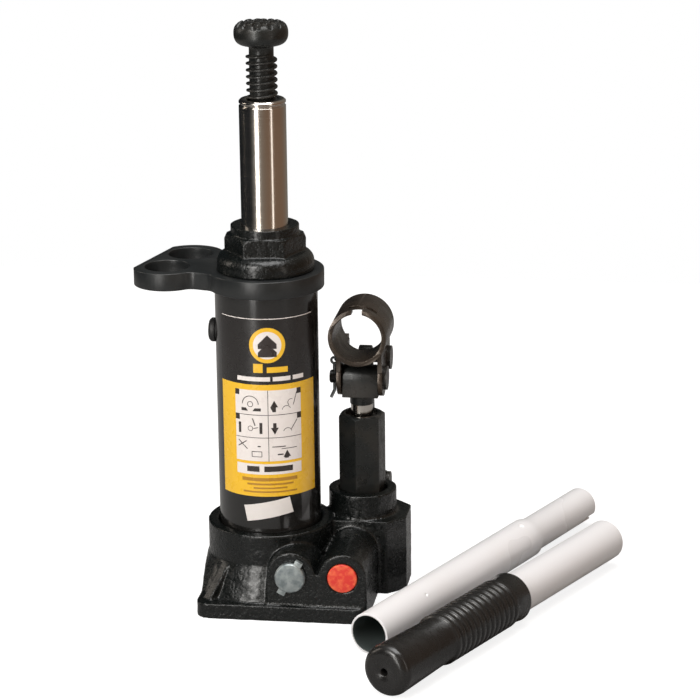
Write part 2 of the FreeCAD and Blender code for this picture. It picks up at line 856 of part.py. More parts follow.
def saddle_grooves():
    """Two crossing sets of straight grooves in the saddle's top."""
    long = number("4 * saddle_radius")
    wide = number("groove_width")
    deep = number("groove_depth")
    pitch = number("groove_pitch")
    top = number("saddle_bottom + saddle_height")
    grooves = []
    for turn in (45, -45):
        for step in (-1.5, -0.5, 0.5, 1.5):
            corner = FreeCAD.Vector(-long / 2, step * pitch - wide / 2, top - deep)
            groove = Part.makeBox(long, wide, 2 * deep, corner)
            groove.rotate(FreeCAD.Vector(), FreeCAD.Vector(0, 0, 1), turn)
            grooves.append(groove)
    return grooves


def extension_screw():
    """Threaded rod with the load saddle forged on its top."""
    bottom = "screw_bottom"
    groove_low = "screw_bottom + 1.5"
    groove_high = "screw_bottom + 1.5 + stop_ring_height + 2 * run_gap"
    groove_radius = "thread_core - 0.8"
    top = "saddle_bottom + saddle_height"
    blank = turned([
        ("0", bottom),
        ("thread_core", bottom),
        ("thread_core", groove_low),
        (groove_radius, groove_low),
        (groove_radius, groove_high),
        ("thread_core", groove_high),
        ("thread_core", "saddle_bottom"),
        ("saddle_foot_radius", "saddle_bottom"),
        ("saddle_radius", "saddle_bottom + 0.35 * saddle_height"),
        ("saddle_radius", "saddle_bottom + 0.6 * saddle_height"),
        ("saddle_top_radius", top),
        ("0", top),
    ])
    doc.recompute()
    shape = blank.Shape.fuse([screw_thread()])
    shape = shape.cut(saddle_grooves())
    solid_feature(shape.Solids[0] if len(shape.Solids) == 1 else shape, "extension_screw")
    ring_low = groove_low + " + run_gap"
    stop_ring = ring(groove_radius + " + run_gap", "thread_radius", ring_low, "stop_ring_height")
    node(stop_ring, "screw_stop_ring")


# ---------------------------------------------------------------- valves
def release_valve():
    """Slotless stem with an eared disc that the notched handle end turns."""
    face = "port_front + 0.2"
    tip = "valve_seat + 1.15"
    stem = "valve_bore - run_gap"
    disc_front = "(%s) + valve_disc_thickness" % face
    body = turned([
        ("0", tip),
        ("2", tip),
        (stem, tip + " + 3"),
        (stem, tip + " + 5"),
        (stem + " - 1.2", tip + " + 5"),
        (stem + " - 1.2", tip + " + 7"),
        (stem, tip + " + 7"),
        (stem, face),
        ("valve_disc", face),
        ("valve_disc", disc_front + " - 0.5"),
        ("valve_disc - 0.5", disc_front),
        ("0", disc_front),
    ])
    bar = box("2 * valve_ear_reach", "valve_ear_width", "valve_disc_thickness - 0.4",
              ("-valve_ear_reach", "-valve_ear_width / 2", face))
    round_end = cylinder("valve_ear_reach", "valve_disc_thickness", (0, 0, face))
    ears = common(bar, round_end)
    place(ears, (0, 0, 0), turn_about(UPRIGHT, "valve_ear_turn"))
    ears.setExpression("Placement.Rotation.Angle", bound("valve_ear_turn"))
    valve = fuse(body, ears)
    place(valve, ("valve_place", 0, "port_height"), "front")
    node(valve, "release_valve")
    seal = ring(stem + " - 1.2", stem, tip + " + 5", "2", ("valve_place", "0"), "front")
    seal.setExpression("Placement.Base.z", bound("port_height"))
    node(seal, "release_valve_seal")
    centre = "-(valve_seat + 1.1 - ball_radius)"
    node(ball("ball_radius", ("valve_place", centre, "port_height")), "release_ball")


def safety_valve():
    """Ball, spring, set screw and the red cover of the overload valve."""
    at = ("safety_place", 0, "port_height")
    seat = "(valve_seat - 1)"
    ball_back = seat + " + 1.9"
    node(ball("ball_radius", ("safety_place", "-(%s)" % ball_back, "port_height")), "safety_ball")
    spring_start = ("safety_place", "-(%s + ball_radius + 0.05)" % ball_back, "port_height")
    coil_spring("safety_spring", "ball_bore - run_gap", "7", 6, spring_start, "front")
    screw_start = seat + " + 11.6"
    screw_end = screw_start + " + 5"
    stem = "valve_bore - run_gap"
    node(turned([
        ("1.8", screw_start), (stem, screw_start), (stem, screw_end), ("1.8", screw_end),
    ], at, "front"), "safety_screw")
    back = "port_front - cover_recess"
    front = back + " + cover_thickness"
    node(turned([
        ("0", back + " - 3"),
        ("valve_bore - 0.5", back + " - 3"),
        ("valve_bore - 0.5", back),
        ("cover_radius", back),
        ("cover_radius", front + " - 0.4"),
        ("cover_radius - 0.4", front),
        ("0", front),
    ], at, "front"), "safety_cover")


def check_valves():
    """The pump's inlet and outlet balls, each with its spring."""
    reach = "(outlet_seat - ball_radius - 0.05)"
    cosine = "pump_place / pump_reach"
    sine = "pump_back / pump_reach"
    at = ("%s * %s" % (reach, cosine), "%s * %s" % (reach, sine), "pressure_height")
    node(ball("ball_radius", at), "outlet_ball")
    spring_reach = "(%s - ball_radius - 6.5)" % reach
    start = ("%s * %s" % (spring_reach, cosine), "%s * %s" % (spring_reach, sine), "pressure_height")
    coil_spring("outlet_spring", "ball_bore - run_gap", "6", 5, start, pump_direction())
    inlet = "inlet_seat + ball_radius + 0.05"
    node(ball("ball_radius", (inlet, "pump_back", "suction_height")), "inlet_ball")
    start = (inlet + " + ball_radius + 0.1", "pump_back", "suction_height")
    coil_spring("inlet_spring", "ball_bore - run_gap", "6", 5, start, "right")


# ---------------------------------------------------------------- pump
def pump_barrel():
    spot = ("pump_place", "pump_back")
    at = spot + (0,)
    flange = hexagon("hex_flats", "hex_top - hex_bottom", spot + ("hex_bottom",), "hex_turn")
    corner = "hex_flats / 2 / cos(30)"
    barrel = turned([
        ("0", "hex_bottom"),
        ("hex_flats / 2", "hex_bottom"),
        (corner, "hex_bottom + 1.2"),
        (corner, "hex_top - 1.2"),
        ("hex_flats / 2 - 0.4", "hex_top"),
        ("0", "hex_top"),
    ], at)
    shank = cylinder("shank_radius", "hex_bottom - pump_floor + 1", spot + ("pump_floor",))
    bore = cylinder("plunger_bore", "hex_top", at)
    seat = cylinder("packing_radius", "hex_top", spot + ("packing_bottom",))
    node(cut(fuse(common(flange, barrel), shank), bore, seat), "pump_cylinder")
    gasket_bottom = "pump_floor - gasket_thickness"
    gasket = ring("chamber_radius", "shank_radius", gasket_bottom, "gasket_thickness", spot)
    node(gasket, "pump_gasket")
    packing = ring("plunger_bore", "packing_radius", "packing_bottom", "packing_height", spot)
    node(packing, "pump_packing")
    ring_bottom = "packing_bottom + packing_height"
    node(ring("plunger_radius + 0.5", "packing_radius", ring_bottom, "1", spot), "packing_ring")


def plunger_set():
    at = ("pump_place", "pump_back", 0)
    spigot = "front_pin_radius"
    node(turned([
        ("0", "plunger_bottom"),
        ("plunger_radius - 0.5", "plunger_bottom"),
        ("plunger_radius", "plunger_bottom + 0.5"),
        ("plunger_radius", "plunger_top"),
        (spigot, "plunger_top"),
        (spigot, "head_bottom"),
        ("0", "head_bottom"),
    ], at), "pump_plunger")
    neck_foot = ("pump_place", "pump_back", "plunger_top")
    neck = cylinder("plunger_radius + 0.4", "head_bottom - plunger_top", neck_foot)
    left = "pump_place - head_width / 2"
    corner = (left, "pump_back - head_round", "head_bottom")
    block = box("head_width", "2 * head_round", "front_pin_height - head_bottom", corner)
    pin_start = (left, "pump_back", "front_pin_height")
    crown = cylinder("head_round", "head_width", pin_start, "right")
    hole = cylinder("front_pin_radius + run_gap", "head_width", pin_start, "right")
    socket = cylinder(spigot, "head_bottom - plunger_top", neck_foot)
    node(cut(fuse(neck, block, crown), hole, socket), "plunger_head")


def socket_ear(side):
    """One cheek of the socket's bracket, spanning both pins."""
    left = "pump_place + ear_gap / 2" if side > 0 else "pump_place - ear_outer"
    front = ("(pump_back - ear_front_round)")
    deep = "rear_pin_back + ear_rear_round - %s" % front
    top = "socket_height - sqrt(socket_radius * socket_radius - ear_outer * ear_outer) + 0.4"
    thick = "ear_thickness"
    return fuse(
        cylinder("ear_front_round", thick, (left, "pump_back", "front_pin_height"), "right"),
        cylinder("ear_rear_round", thick, (left, "rear_pin_back", "rear_pin_height"), "right"),
        box(thick, deep, "%s - rear_pin_height + 1" % top, (left, front, "rear_pin_height - 1")),
        box(thick, "rear_pin_back - pump_back", "8", (left, "pump_back", "front_pin_height - 1")),
    )


def handle_socket():
    """The tube that takes the pump handle, on two cheeks."""
    deep = "socket_rear - socket_front"
    at = ("pump_place", "socket_front", "socket_height")
    tube = cylinder("socket_radius", deep, at, "back")
    body = fuse(tube, socket_ear(-1), socket_ear(1))
    hollow = cylinder("socket_radius - socket_wall", deep, at, "back")
    notch = box("notch_width", "notch_length", "2 * socket_radius",
                ("pump_place - notch_width / 2", "socket_front", "socket_height"))
    slot = box("bayonet_left + bayonet_right", "bayonet_length", "2 * socket_radius",
               ("pump_place - bayonet_left", "socket_front + notch_length", "socket_height"))
    span = "2 * socket_radius"
    relief = padded([
        ("pump_back + relief_start", "socket_height - socket_radius - 1"),
        ("socket_rear + 1", "socket_height - socket_radius - 1"),
        ("socket_rear + 1", "socket_height + 1"),
    ], "YZ_Plane", "relief_width", ("pump_place - relief_width / 2", 0, 0))
    left = "pump_place - socket_radius"
    pins = [
        cylinder("front_pin_radius", span, (left, "pump_back", "front_pin_height"), "right"),
        cylinder("rear_pin_radius", span, (left, "rear_pin_back", "rear_pin_height"), "right"),
    ]
    node(cut(body, hollow, notch, slot, relief, *pins), "handle_socket")


def headed_pin(label, radius, half_span, back, height):
    """A clevis pin along X: head on the right, cotter hole end on the left."""
    shank = "%s + 4" % half_span
    at = ("pump_place", back, height)
    pin = turned([
        ("0", "-(%s)" % shank),
        (radius + " - 0.4", "-(%s)" % shank),
        (radius, "-(%s) + 0.4" % shank),
        (radius, half_span),
        ("pin_head_radius", half_span),
        ("pin_head_radius", half_span + " + pin_head_thickness"),
        ("0", half_span + " + pin_head_thickness"),
    ], at, "right")
    left = "pump_place - (%s) + 2" % shank
    hole = cylinder("0.8", "4 * " + radius, (left, back, "%s - 2 * %s" % (height, radius)))
    node(cut(pin, hole), label)
    leg = "%s + 3.4" % radius
    foot = (left, back, "%s - (%s)" % (height, leg))
    cotter = fuse(
        cylinder("cotter_wire", "2 * (%s)" % leg, foot),
        cylinder("cotter_wire", "4", foot, turn_about(CROSSWISE, "cotter_bend")),
        cotter_eye((left, back, "%s + %s + 1.3" % (height, leg))),
    )
    node(cotter, label + "_cotter")


def cotter_eye(at):
    eye = doc.addObject("Part::Torus", "eye")
    bind(eye, Radius1="1.4", Radius2="0.6")
    place(eye, at, "front")
    return eye


def pump_link():
    """Flat bar from the base's lugs up to the socket's rear pin."""
    left = "pump_place - link_thickness / 2"
    rise = number("rear_pin_height - link_pin_height")
    lean = number("link_pin_back - rear_pin_back")
    tilt = math.degrees(math.atan2(lean, rise))
    length = "sqrt(pow(rear_pin_height - link_pin_height; 2) + pow(link_pin_back - rear_pin_back; 2))"
    bar = box("link_thickness", "link_width", length, (0, "-link_width / 2", 0))
    upper = cylinder("link_eye", "link_thickness", (0, 0, length), "right")
    lower = cylinder("link_foot_eye", "link_thickness", (0, 0, 0), "right")
    upper_hole = cylinder("link_eye_hole", "link_thickness", (0, 0, length), "right")
    lower_hole = cylinder("link_pin_radius + run_gap", "link_thickness", (0, 0, 0), "right")
    link = cut(fuse(bar, upper, lower), upper_hole, lower_hole)
    lean_back = FreeCAD.Rotation(FreeCAD.Vector(1, 0, 0), tilt)
    place(link, (left, "link_pin_back", "link_pin_height"), lean_back)
    node(link, "pump_link")


# ---------------------------------------------------------------- small pieces
def filler_plug():
    face = "reservoir_radius + run_gap"
    node(turned([
        ("0", "reservoir_radius - plug_depth"),
        ("plug_shank - 0.6", "reservoir_radius - plug_depth"),
        ("plug_shank", "reservoir_radius - plug_depth + 0.6"),
        ("plug_shank", face),
        ("plug_head", face),
        ("plug_head", face + " + plug_head_thickness - 1"),
        ("plug_head - 1", face + " + plug_head_thickness"),
        ("0", face + " + plug_head_thickness"),
    ], (0, 0, "plug_height"), "left"), "filler_plug")


def labels():
    """The printed sleeve and the small tilted sticker, as thin curved sheets."""
    start = "label_centre - 90 - label_angle / 2"
    tall = "label_top - label_bottom"
    skin = "reservoir_radius + label_thickness"
    outer = cylinder(skin, tall, (0, 0, "label_bottom"), angle="label_angle")
    outer.Placement.Rotation = FreeCAD.Rotation(FreeCAD.Vector(0, 0, 1), number(start))
    outer.setExpression("Placement.Rotation.Angle", bound(start))
    node(cut(outer, cylinder("reservoir_radius", tall, (0, 0, "label_bottom"))), "main_label")
    sheet_ring = cut(
        cylinder(skin, "3 * sticker_height", (0, 0, "sticker_bottom - sticker_height")),
        cylinder("reservoir_radius", "3 * sticker_height", (0, 0, "sticker_bottom - sticker_height")),
    )
    patch = box("sticker_width", "2 * reservoir_radius", "sticker_height", ("-sticker_width / 2", 0, 0))
    window = common(patch)
    spot = ("sticker_place", "-2 * reservoir_radius", "sticker_bottom")
    place(window, spot, turn_about(CROSSWISE, "-sticker_turn"))
    node(common(sheet_ring, window), "small_sticker")


# ---------------------------------------------------------------- loose handle
def lying(yaw):
    """Rotation of a piece lying on the floor with its Z along a plan angle."""
    return FreeCAD.Rotation(number(yaw), 90, 0)


def lower_handle():
    """Plain tube whose far end is drawn down and slotted to turn the valve."""
    swage_start = "lower_straight"
    swage_end = "lower_straight + swage_run"
    tube = turned([
        ("tube_inner", "0"),
        ("tube_radius", "0"),
        ("tube_radius", swage_start),
        ("swage_radius", swage_end),
        ("swage_radius", "lower_length"),
        ("swage_radius - tube_wall", "lower_length"),
        ("swage_radius - tube_wall", swage_end),
        ("tube_inner", swage_start),
    ])
    slot = common(box("swage_slot_width", "2 * tube_radius", "swage_slot_depth",
                      ("-swage_slot_width / 2", "-tube_radius", "lower_length - swage_slot_depth")))
    place(slot, (0, 0, 0), turn_about(UPRIGHT, "swage_slot_turn"))
    slot.setExpression("Placement.Rotation.Angle", bound("swage_slot_turn"))
    lock_hole = box("tube_radius", "lock_hole_width", "lock_hole_length",
                    ("-tube_radius", "-lock_hole_width / 2", "lock_hole_place"))
    piece = cut(tube, slot, lock_hole)
    place(piece, ("lower_place_right", "-lower_place_front", "tube_radius"), lying("lower_turn"))
    node(piece, "lower_handle_tube")


def grip_outline():
    """Plain nose, a run of raised ribs and a plain collar."""
    low = "grip_radius - rib_depth"
    outline = [
        ("grip_vent", "0"),
        ("grip_radius - grip_end_round", "0", "grip_end_round", 1),
        ("grip_radius", "grip_end_round"),
        ("grip_radius", "grip_plain"),
    ]
    for index in range(int(number("rib_count"))):
        start = "grip_plain + %d * rib_pitch" % index
        outline.append((low, start + " + 0.15 * rib_pitch"))
        outline.append((low, start + " + 0.4 * rib_pitch"))
        outline.append(("grip_radius", start + " + 0.55 * rib_pitch"))
        outline.append(("grip_radius", start + " + rib_pitch"))
    outline += [
        ("grip_radius", "grip_length"),
        ("tube_radius", "grip_length"),
        ("tube_radius", "grip_end_wall"),
        ("grip_vent", "grip_end_wall"),
    ]
    return outline


def upper_handle():
    """Plain tube with a ribbed rubber grip pulled over its near end."""
    at = ("upper_place_right", "-upper_place_front", "grip_radius")
    tube = ring("tube_inner", "tube_radius", "grip_end_wall", "upper_length - grip_end_wall")
    place(tube, at, lying("upper_turn"))
    node(tube, "upper_handle_tube")
    grip = turned(grip_outline())
    place(grip, at, lying("upper_turn"))
    node(grip, "handle_grip")


# ---------------------------------------------------------------- the whole jack
base_casting()
pressure_side()
reservoir()
cap_nut()
handle_bracket()
ram_set()
extension_screw()
release_valve()
safety_valve()
check_valves()
pump_barrel()
plunger_set()
handle_socket()
headed_pin("front_socket_pin", "front_pin_radius", "ear_outer", "pump_back", "front_pin_height")
headed_pin("rear_socket_pin", "rear_pin_radius", "ear_outer", "rear_pin_back", "rear_pin_height")
headed_pin("link_pin", "link_pin_radius", "(link_thickness / 2 + lug_gap + lug_thickness)",
           "link_pin_back", "link_pin_height")
pump_link()
filler_plug()
labels()
lower_handle()
upper_handle()
doc.recompute()


def check_document():
    """Stops when any object failed or any sub-part isn't a sound solid."""
    for thing in doc.Objects:
        if "Invalid" in thing.State or "Error" in thing.State:
            raise RuntimeError("failed object: %s (%s)" % (thing.Name, thing.Label))
    for thing in NODES:
        if thing.Shape.isNull() or not thing.Shape.isValid() or not thing.Shape.Solids:
            raise RuntimeError("unsound sub-part: " + thing.Label)


check_document()
os.makedirs("parts", exist_ok=True)
for thing in NODES:
    thing.Shape.exportStep("parts/%s.step" % thing.Label)
    print("%-24s %9.1f mm3, %d solid" % (thing.Label, thing.Shape.Volume, len(thing.Shape.Solids)))
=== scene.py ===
"""Looks of the bottle jack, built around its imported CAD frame.  Everything is in metres."""
import bpy
import bmesh
import json
import math
from mathutils import Matrix, Vector

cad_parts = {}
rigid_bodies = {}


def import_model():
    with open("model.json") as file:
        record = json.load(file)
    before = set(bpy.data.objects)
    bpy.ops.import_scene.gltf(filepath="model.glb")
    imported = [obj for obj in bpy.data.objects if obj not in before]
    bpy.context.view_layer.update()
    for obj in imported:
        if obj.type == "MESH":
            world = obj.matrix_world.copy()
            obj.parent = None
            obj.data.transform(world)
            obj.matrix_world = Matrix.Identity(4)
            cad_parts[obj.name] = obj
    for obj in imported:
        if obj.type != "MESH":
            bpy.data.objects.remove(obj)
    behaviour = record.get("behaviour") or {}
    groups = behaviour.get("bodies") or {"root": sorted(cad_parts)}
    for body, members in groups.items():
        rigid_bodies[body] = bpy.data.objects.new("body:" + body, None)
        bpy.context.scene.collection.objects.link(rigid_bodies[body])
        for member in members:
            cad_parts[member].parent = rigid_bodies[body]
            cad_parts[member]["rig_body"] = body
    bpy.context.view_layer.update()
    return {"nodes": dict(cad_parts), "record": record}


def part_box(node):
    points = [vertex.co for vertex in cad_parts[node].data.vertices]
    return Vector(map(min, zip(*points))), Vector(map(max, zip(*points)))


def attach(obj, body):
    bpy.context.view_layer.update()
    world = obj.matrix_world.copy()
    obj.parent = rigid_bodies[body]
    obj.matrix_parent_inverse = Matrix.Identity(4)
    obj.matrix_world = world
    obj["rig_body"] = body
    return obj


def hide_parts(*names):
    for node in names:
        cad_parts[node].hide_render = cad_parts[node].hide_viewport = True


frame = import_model()
NODES = frame["nodes"]
MM = 0.001


# ------------------------------------------------------------ places, from the frame
RESERVOIR_LOW, RESERVOIR_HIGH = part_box("reservoir_tube")
RESERVOIR_RADIUS = (RESERVOIR_HIGH.y - RESERVOIR_LOW.y) / 2
LABEL_LOW, LABEL_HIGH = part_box("main_label")
MOUNTS = {mount["name"]: mount for mount in frame["record"]["mounts"]}
GRIP_BACK = 181 * MM
MOUTH_BACK = 10 * MM
TUBE = {"outer": 9.5, "inner": 8.3, "swage": 8.2, "swage_inner": 7.0, "straight": 138.0, "length": 197.0}
SLOT = {"width": 4.0, "depth": 9.0, "turn": 38.0, "hole": (25.0, 3.2, 4.4)}
DIMPLES = ((132.5, 0.25, 1.7), (132.5, -0.75, 1.7), (38, 0.75, 1.3))
LABEL_SKIN = RESERVOIR_RADIUS + 0.12 * MM
LABEL_CENTRE = math.radians(-80)
LABEL_HALF = math.radians(60.5)


# ------------------------------------------------------------ shader helpers
class Shader:
    """A node material being built up from a Principled surface."""

    def __init__(self, name, colour, roughness, metallic=0.0):
        self.material = bpy.data.materials.new(name)
        self.material.use_nodes = True
        self.nodes = self.material.node_tree.nodes
        self.links = self.material.node_tree.links
        self.surface = self.nodes["Principled BSDF"]
        self.colour = tuple(colour) + (1.0,)
        self.set("Base Color", self.colour)
        self.set("Roughness", roughness)
        self.set("Metallic", metallic)
        self.place = self.nodes.new("ShaderNodeTexCoord").outputs["Object"]

    def set(self, socket, value):
        self.surface.inputs[socket].default_value = value
        return self

    def stretched(self, stretch):
        mapping = self.nodes.new("ShaderNodeMapping")
        mapping.inputs["Scale"].default_value = stretch
        self.links.new(self.place, mapping.inputs["Vector"])
        return mapping.outputs["Vector"]

    def noise(self, scale, detail=4.0, stretch=(1, 1, 1), rough=0.55):
        texture = self.nodes.new("ShaderNodeTexNoise")
        texture.inputs["Scale"].default_value = scale
        texture.inputs["Detail"].default_value = detail
        texture.inputs["Roughness"].default_value = rough
        self.links.new(self.stretched(stretch), texture.inputs["Vector"])
        return texture.outputs["Fac"]

    def span(self, value, low, high, out_low, out_high):
        """Maps one range of a value to another, held at its ends."""
        node = self.nodes.new("ShaderNodeMapRange")
        numbers = zip(("From Min", "From Max", "To Min", "To Max"), (low, high, out_low, out_high))
        for socket, number in numbers:
            node.inputs[socket].default_value = number
        self.links.new(value, node.inputs["Value"])
        return node.outputs["Result"]

    def inside(self, start, axis):
        """1 on the faces that look at a line, 0 on those that look away from it."""
        geometry = self.nodes.new("ShaderNodeNewGeometry")
        offset, along, facing = [self.nodes.new("ShaderNodeVectorMath") for _ in range(3)]
        offset.operation, along.operation, facing.operation = "SUBTRACT", "PROJECT", "DOT_PRODUCT"
        offset.inputs[1].default_value = start
        along.inputs[1].default_value = axis
        out = self.nodes.new("ShaderNodeVectorMath")
        out.operation = "SUBTRACT"
        self.links.new(self.place, offset.inputs[0])
        self.links.new(offset.outputs["Vector"], along.inputs[0])
        self.links.new(offset.outputs["Vector"], out.inputs[0])
        self.links.new(along.outputs["Vector"], out.inputs[1])
        self.links.new(out.outputs["Vector"], facing.inputs[0])
        self.links.new(geometry.outputs["True Normal"], facing.inputs[1])
        return self.span(facing.outputs["Value"], -4 * MM, -3 * MM, 1, 0)

    def vary_roughness(self, value, low, high):
        self.links.new(self.span(value, 0.35, 0.65, low, high), self.surface.inputs["Roughness"])
        return self

    def tint(self, factor, other):
        """Mixes another colour over what the surface has, by a factor."""
        mix = self.nodes.new("ShaderNodeMix")
        mix.data_type = "RGBA"
        colour_in = self.surface.inputs["Base Color"]
        if colour_in.is_linked:
            self.links.new(colour_in.links[0].from_socket, mix.inputs["A"])
        else:
            mix.inputs["A"].default_value = self.colour
        mix.inputs["B"].default_value = tuple(other) + (1.0,)
        self.links.new(factor, mix.inputs["Factor"])
        self.links.new(mix.outputs["Result"], colour_in)
        return self

    def bump(self, value, height, strength=1.0):
        node = self.nodes.new("ShaderNodeBump")
        node.inputs["Strength"].default_value = strength
        node.inputs["Distance"].default_value = height
        normal_in = self.surface.inputs["Normal"]
        if normal_in.is_linked:
            self.links.new(normal_in.links[0].from_socket, node.inputs["Normal"])
        self.links.new(value, node.inputs["Height"])
        self.links.new(node.outputs["Normal"], normal_in)
        return self

    def worn_edges(self, colour, amount):
        """Lets bare metal show a little along sharp convex edges."""
        point = self.nodes.new("ShaderNodeNewGeometry").outputs["Pointiness"]
        edge = self.span(point, 0.53, 0.6, 0.0, amount)
        return self.tint(edge, colour)


# ------------------------------------------------------------ materials
def cast_paint():
    """Thick gloss black paint over rough cast iron."""
    paint = Shader("cast_paint", (0.003, 0.004, 0.0038), 0.24)
    grain = paint.noise(620, 3)
    lumps = paint.noise(190, 3)
    paint.set("Coat Weight", 0.3).set("Coat Roughness", 0.14).set("Specular IOR Level", 0.3)
    paint.vary_roughness(grain, 0.2, 0.36)
    paint.tint(paint.span(lumps, 0.5, 0.8, 0.0, 0.4), (0.008, 0.008, 0.007))
    paint.bump(lumps, 0.35 * MM, 0.6)
    paint.bump(grain, 0.42 * MM, 1.0)
    return paint.material


def gloss_paint():
    """Even gloss black enamel with faint orange peel."""
    paint = Shader("gloss_paint", (0.009, 0.0085, 0.008), 0.16)
    peel = paint.noise(420, 2)
    paint.set("Coat Weight", 0.5).set("Coat Roughness", 0.06)
    paint.vary_roughness(paint.noise(60, 4), 0.13, 0.23)
    paint.bump(peel, 0.02 * MM, 0.5)
    return paint.material


def satin_paint():
    """Satin black paint on the pressed plate."""
    paint = Shader("satin_paint", (0.013, 0.0145, 0.015), 0.34)
    grain = paint.noise(1300, 4)
    paint.vary_roughness(paint.noise(80, 4), 0.28, 0.42)
    paint.tint(paint.span(paint.noise(45, 5), 0.5, 0.8, 0.0, 0.5), (0.03, 0.031, 0.031))
    paint.bump(grain, 0.05 * MM, 0.5)
    return paint.material


def black_oxide():
    """Oiled black oxide with brown-grey patches and bright worn edges."""
    oxide = Shader("black_oxide", (0.014, 0.0155, 0.015), 0.3, 0.25)
    patch = oxide.noise(70, 6)
    oxide.tint(oxide.span(patch, 0.48, 0.75, 0.0, 0.6), (0.035, 0.03, 0.024))
    oxide.vary_roughness(oxide.noise(240, 5), 0.22, 0.42)
    oxide.worn_edges((0.12, 0.11, 0.1), 0.35)
    oxide.bump(oxide.noise(900, 4), 0.05 * MM, 0.5)
    return oxide.material


def socket_finish():
    """Thin dark finish on the socket's rolled tube, warm where the steel shows."""
    oxide = Shader("socket_finish", (0.045, 0.034, 0.026), 0.24, 0.55)
    oxide.tint(oxide.span(oxide.noise(55, 6), 0.42, 0.7, 0.0, 0.8), (0.1, 0.075, 0.055))
    oxide.vary_roughness(oxide.noise(180, 5), 0.18, 0.36)
    oxide.worn_edges((0.3, 0.26, 0.22), 0.4)
    oxide.bump(oxide.noise(700, 4), 0.04 * MM, 0.5)
    return oxide.material


def turned_steel(name, colour, roughness):
    """Ground steel with fine rings round its own axis and faint stains."""
    steel = Shader(name, colour, roughness, 1.0)
    rings = steel.noise(1.0, 3, (40, 40, 5200))
    steel.vary_roughness(rings, roughness * 0.75, roughness * 1.3)
    steel.tint(steel.span(steel.noise(38, 6), 0.5, 0.8, 0.0, 0.35), [0.7 * c for c in colour])
    steel.bump(rings, 0.012 * MM, 0.5)
    return steel.material


def zinc():
    """Dull, slightly cloudy zinc plate."""
    plate = Shader("zinc", (0.42, 0.46, 0.46), 0.42, 0.85)
    cloud = plate.noise(260, 6)
    plate.tint(plate.span(cloud, 0.38, 0.62, 0.0, 0.9), (0.19, 0.225, 0.235))
    plate.worn_edges((0.62, 0.65, 0.66), 0.6)
    plate.vary_roughness(plate.noise(500, 4), 0.32, 0.55)
    plate.bump(plate.noise(520, 5), 0.09 * MM, 0.6)
    return plate.material


def red_plastic():
    """Moulded red plastic with a fine matt grain."""
    plastic = Shader("red_plastic", (0.72, 0.035, 0.025), 0.42)
    plastic.tint(plastic.span(plastic.noise(420, 5), 0.42, 0.62, 0.0, 0.75), (0.86, 0.17, 0.06))
    plastic.vary_roughness(plastic.noise(300, 4), 0.36, 0.52)
    plastic.bump(plastic.noise(900, 4), 0.1 * MM, 0.6)
    return plastic.material


def white_paint(name="white_paint", start=None, axis=None):
    """Semi-gloss white stoved paint; a tube with a start and an axis is bare steel inside, its inner faces
    darkened near black as painted shade.
    """
    paint = Shader(name, (0.8, 0.79, 0.8), 0.3)
    paint.set("Coat Weight", 0.25).set("Coat Roughness", 0.12)
    paint.tint(paint.span(paint.noise(30, 4), 0.5, 0.85, 0.0, 0.25), (0.78, 0.73, 0.69))
    paint.vary_roughness(paint.noise(20, 2), 0.26, 0.34)
    if axis:
        # painted shade: the inner faces are tinted near black, darker than bare steel, for the shade inside
        # the tube
        paint.tint(paint.inside(start, axis), (0.075, 0.09, 0.088))
    return paint.material


def grip_rubber():
    """Smooth moulded black rubber with a soft shine."""
    rubber = Shader("grip_rubber", (0.011, 0.0105, 0.01), 0.27)
    rubber.tint(rubber.span(rubber.noise(60, 5), 0.45, 0.8, 0.0, 0.3), (0.017, 0.015, 0.013))
    rubber.vary_roughness(rubber.noise(220, 5), 0.2, 0.34)
    rubber.bump(rubber.noise(1200, 3), 0.012 * MM, 0.4)
    return rubber.material


def seal_rubber():
    rubber = Shader("seal_rubber", (0.016, 0.016, 0.016), 0.5)
    rubber.vary_roughness(rubber.noise(500, 4), 0.42, 0.6)
    rubber.bump(rubber.noise(1500, 3), 0.03 * MM, 0.5)
    return rubber.material


def copper():
    gasket = Shader("copper", (0.75, 0.36, 0.22), 0.35, 1.0)
    gasket.vary_roughness(gasket.noise(400, 4), 0.28, 0.45)
    return gasket.material


def ink(name, colour, roughness=0.28):
    """Printed film with a faint mottle."""
    film = Shader(name, colour, roughness)
    film.set("Coat Weight", 0.4).set("Coat Roughness", 0.12)
    film.tint(film.span(film.noise(300, 3), 0.4, 0.7, 0.0, 0.12), [min(1.0, 1.25 * c + 0.02) for c in colour])
    film.vary_roughness(film.noise(150, 3), roughness * 0.85, roughness * 1.2)
    return film.material


def floor_paper():
    """Pale paper: overlit where it is looked at, and a quiet grey in reflections."""
    paper = Shader("floor_paper", (0.3, 0.3, 0.3), 0.9)
    paper.tint(paper.span(paper.noise(3, 2), 0.4, 0.6, 0.0, 0.3), (0.28, 0.28, 0.28))
    paper.set("Emission Color", (1, 1, 1, 1))
    seen = paper.nodes.new("ShaderNodeLightPath").outputs["Is Camera Ray"]
    paper.links.new(paper.span(seen, 0, 1, 0, 0.84), paper.surface.inputs["Emission Strength"])
    return paper.material


MATERIALS = {
    "black_casting": cast_paint(),
    "gloss_black": gloss_paint(),
    "satin_black": satin_paint(),
    "black_oxide": black_oxide(),
    "machined_steel": turned_steel("machined_steel", (0.5, 0.5, 0.49), 0.3),
    "polished_steel": turned_steel("polished_steel", (0.62, 0.58, 0.53), 0.16),
    "bearing_steel": turned_steel("bearing_steel", (0.7, 0.7, 0.7), 0.08),
    "zinc_plate": zinc(),
    "red_plastic": red_plastic(),
    "white_paint": white_paint(),
    "grip_rubber": grip_rubber(),
    "seal_rubber": seal_rubber(),
    "copper_gasket": copper(),
    "printed_label": ink("ink_black", (0.011, 0.009, 0.0085)),
    "white_sticker": ink("sticker_paper", (0.78, 0.74, 0.71), 0.55),
}
SOCKET_FINISH = socket_finish()
YELLOW = ink("ink_yellow", (0.9, 0.52, 0.025))
PALE = ink("ink_pale", (0.85, 0.79, 0.76))
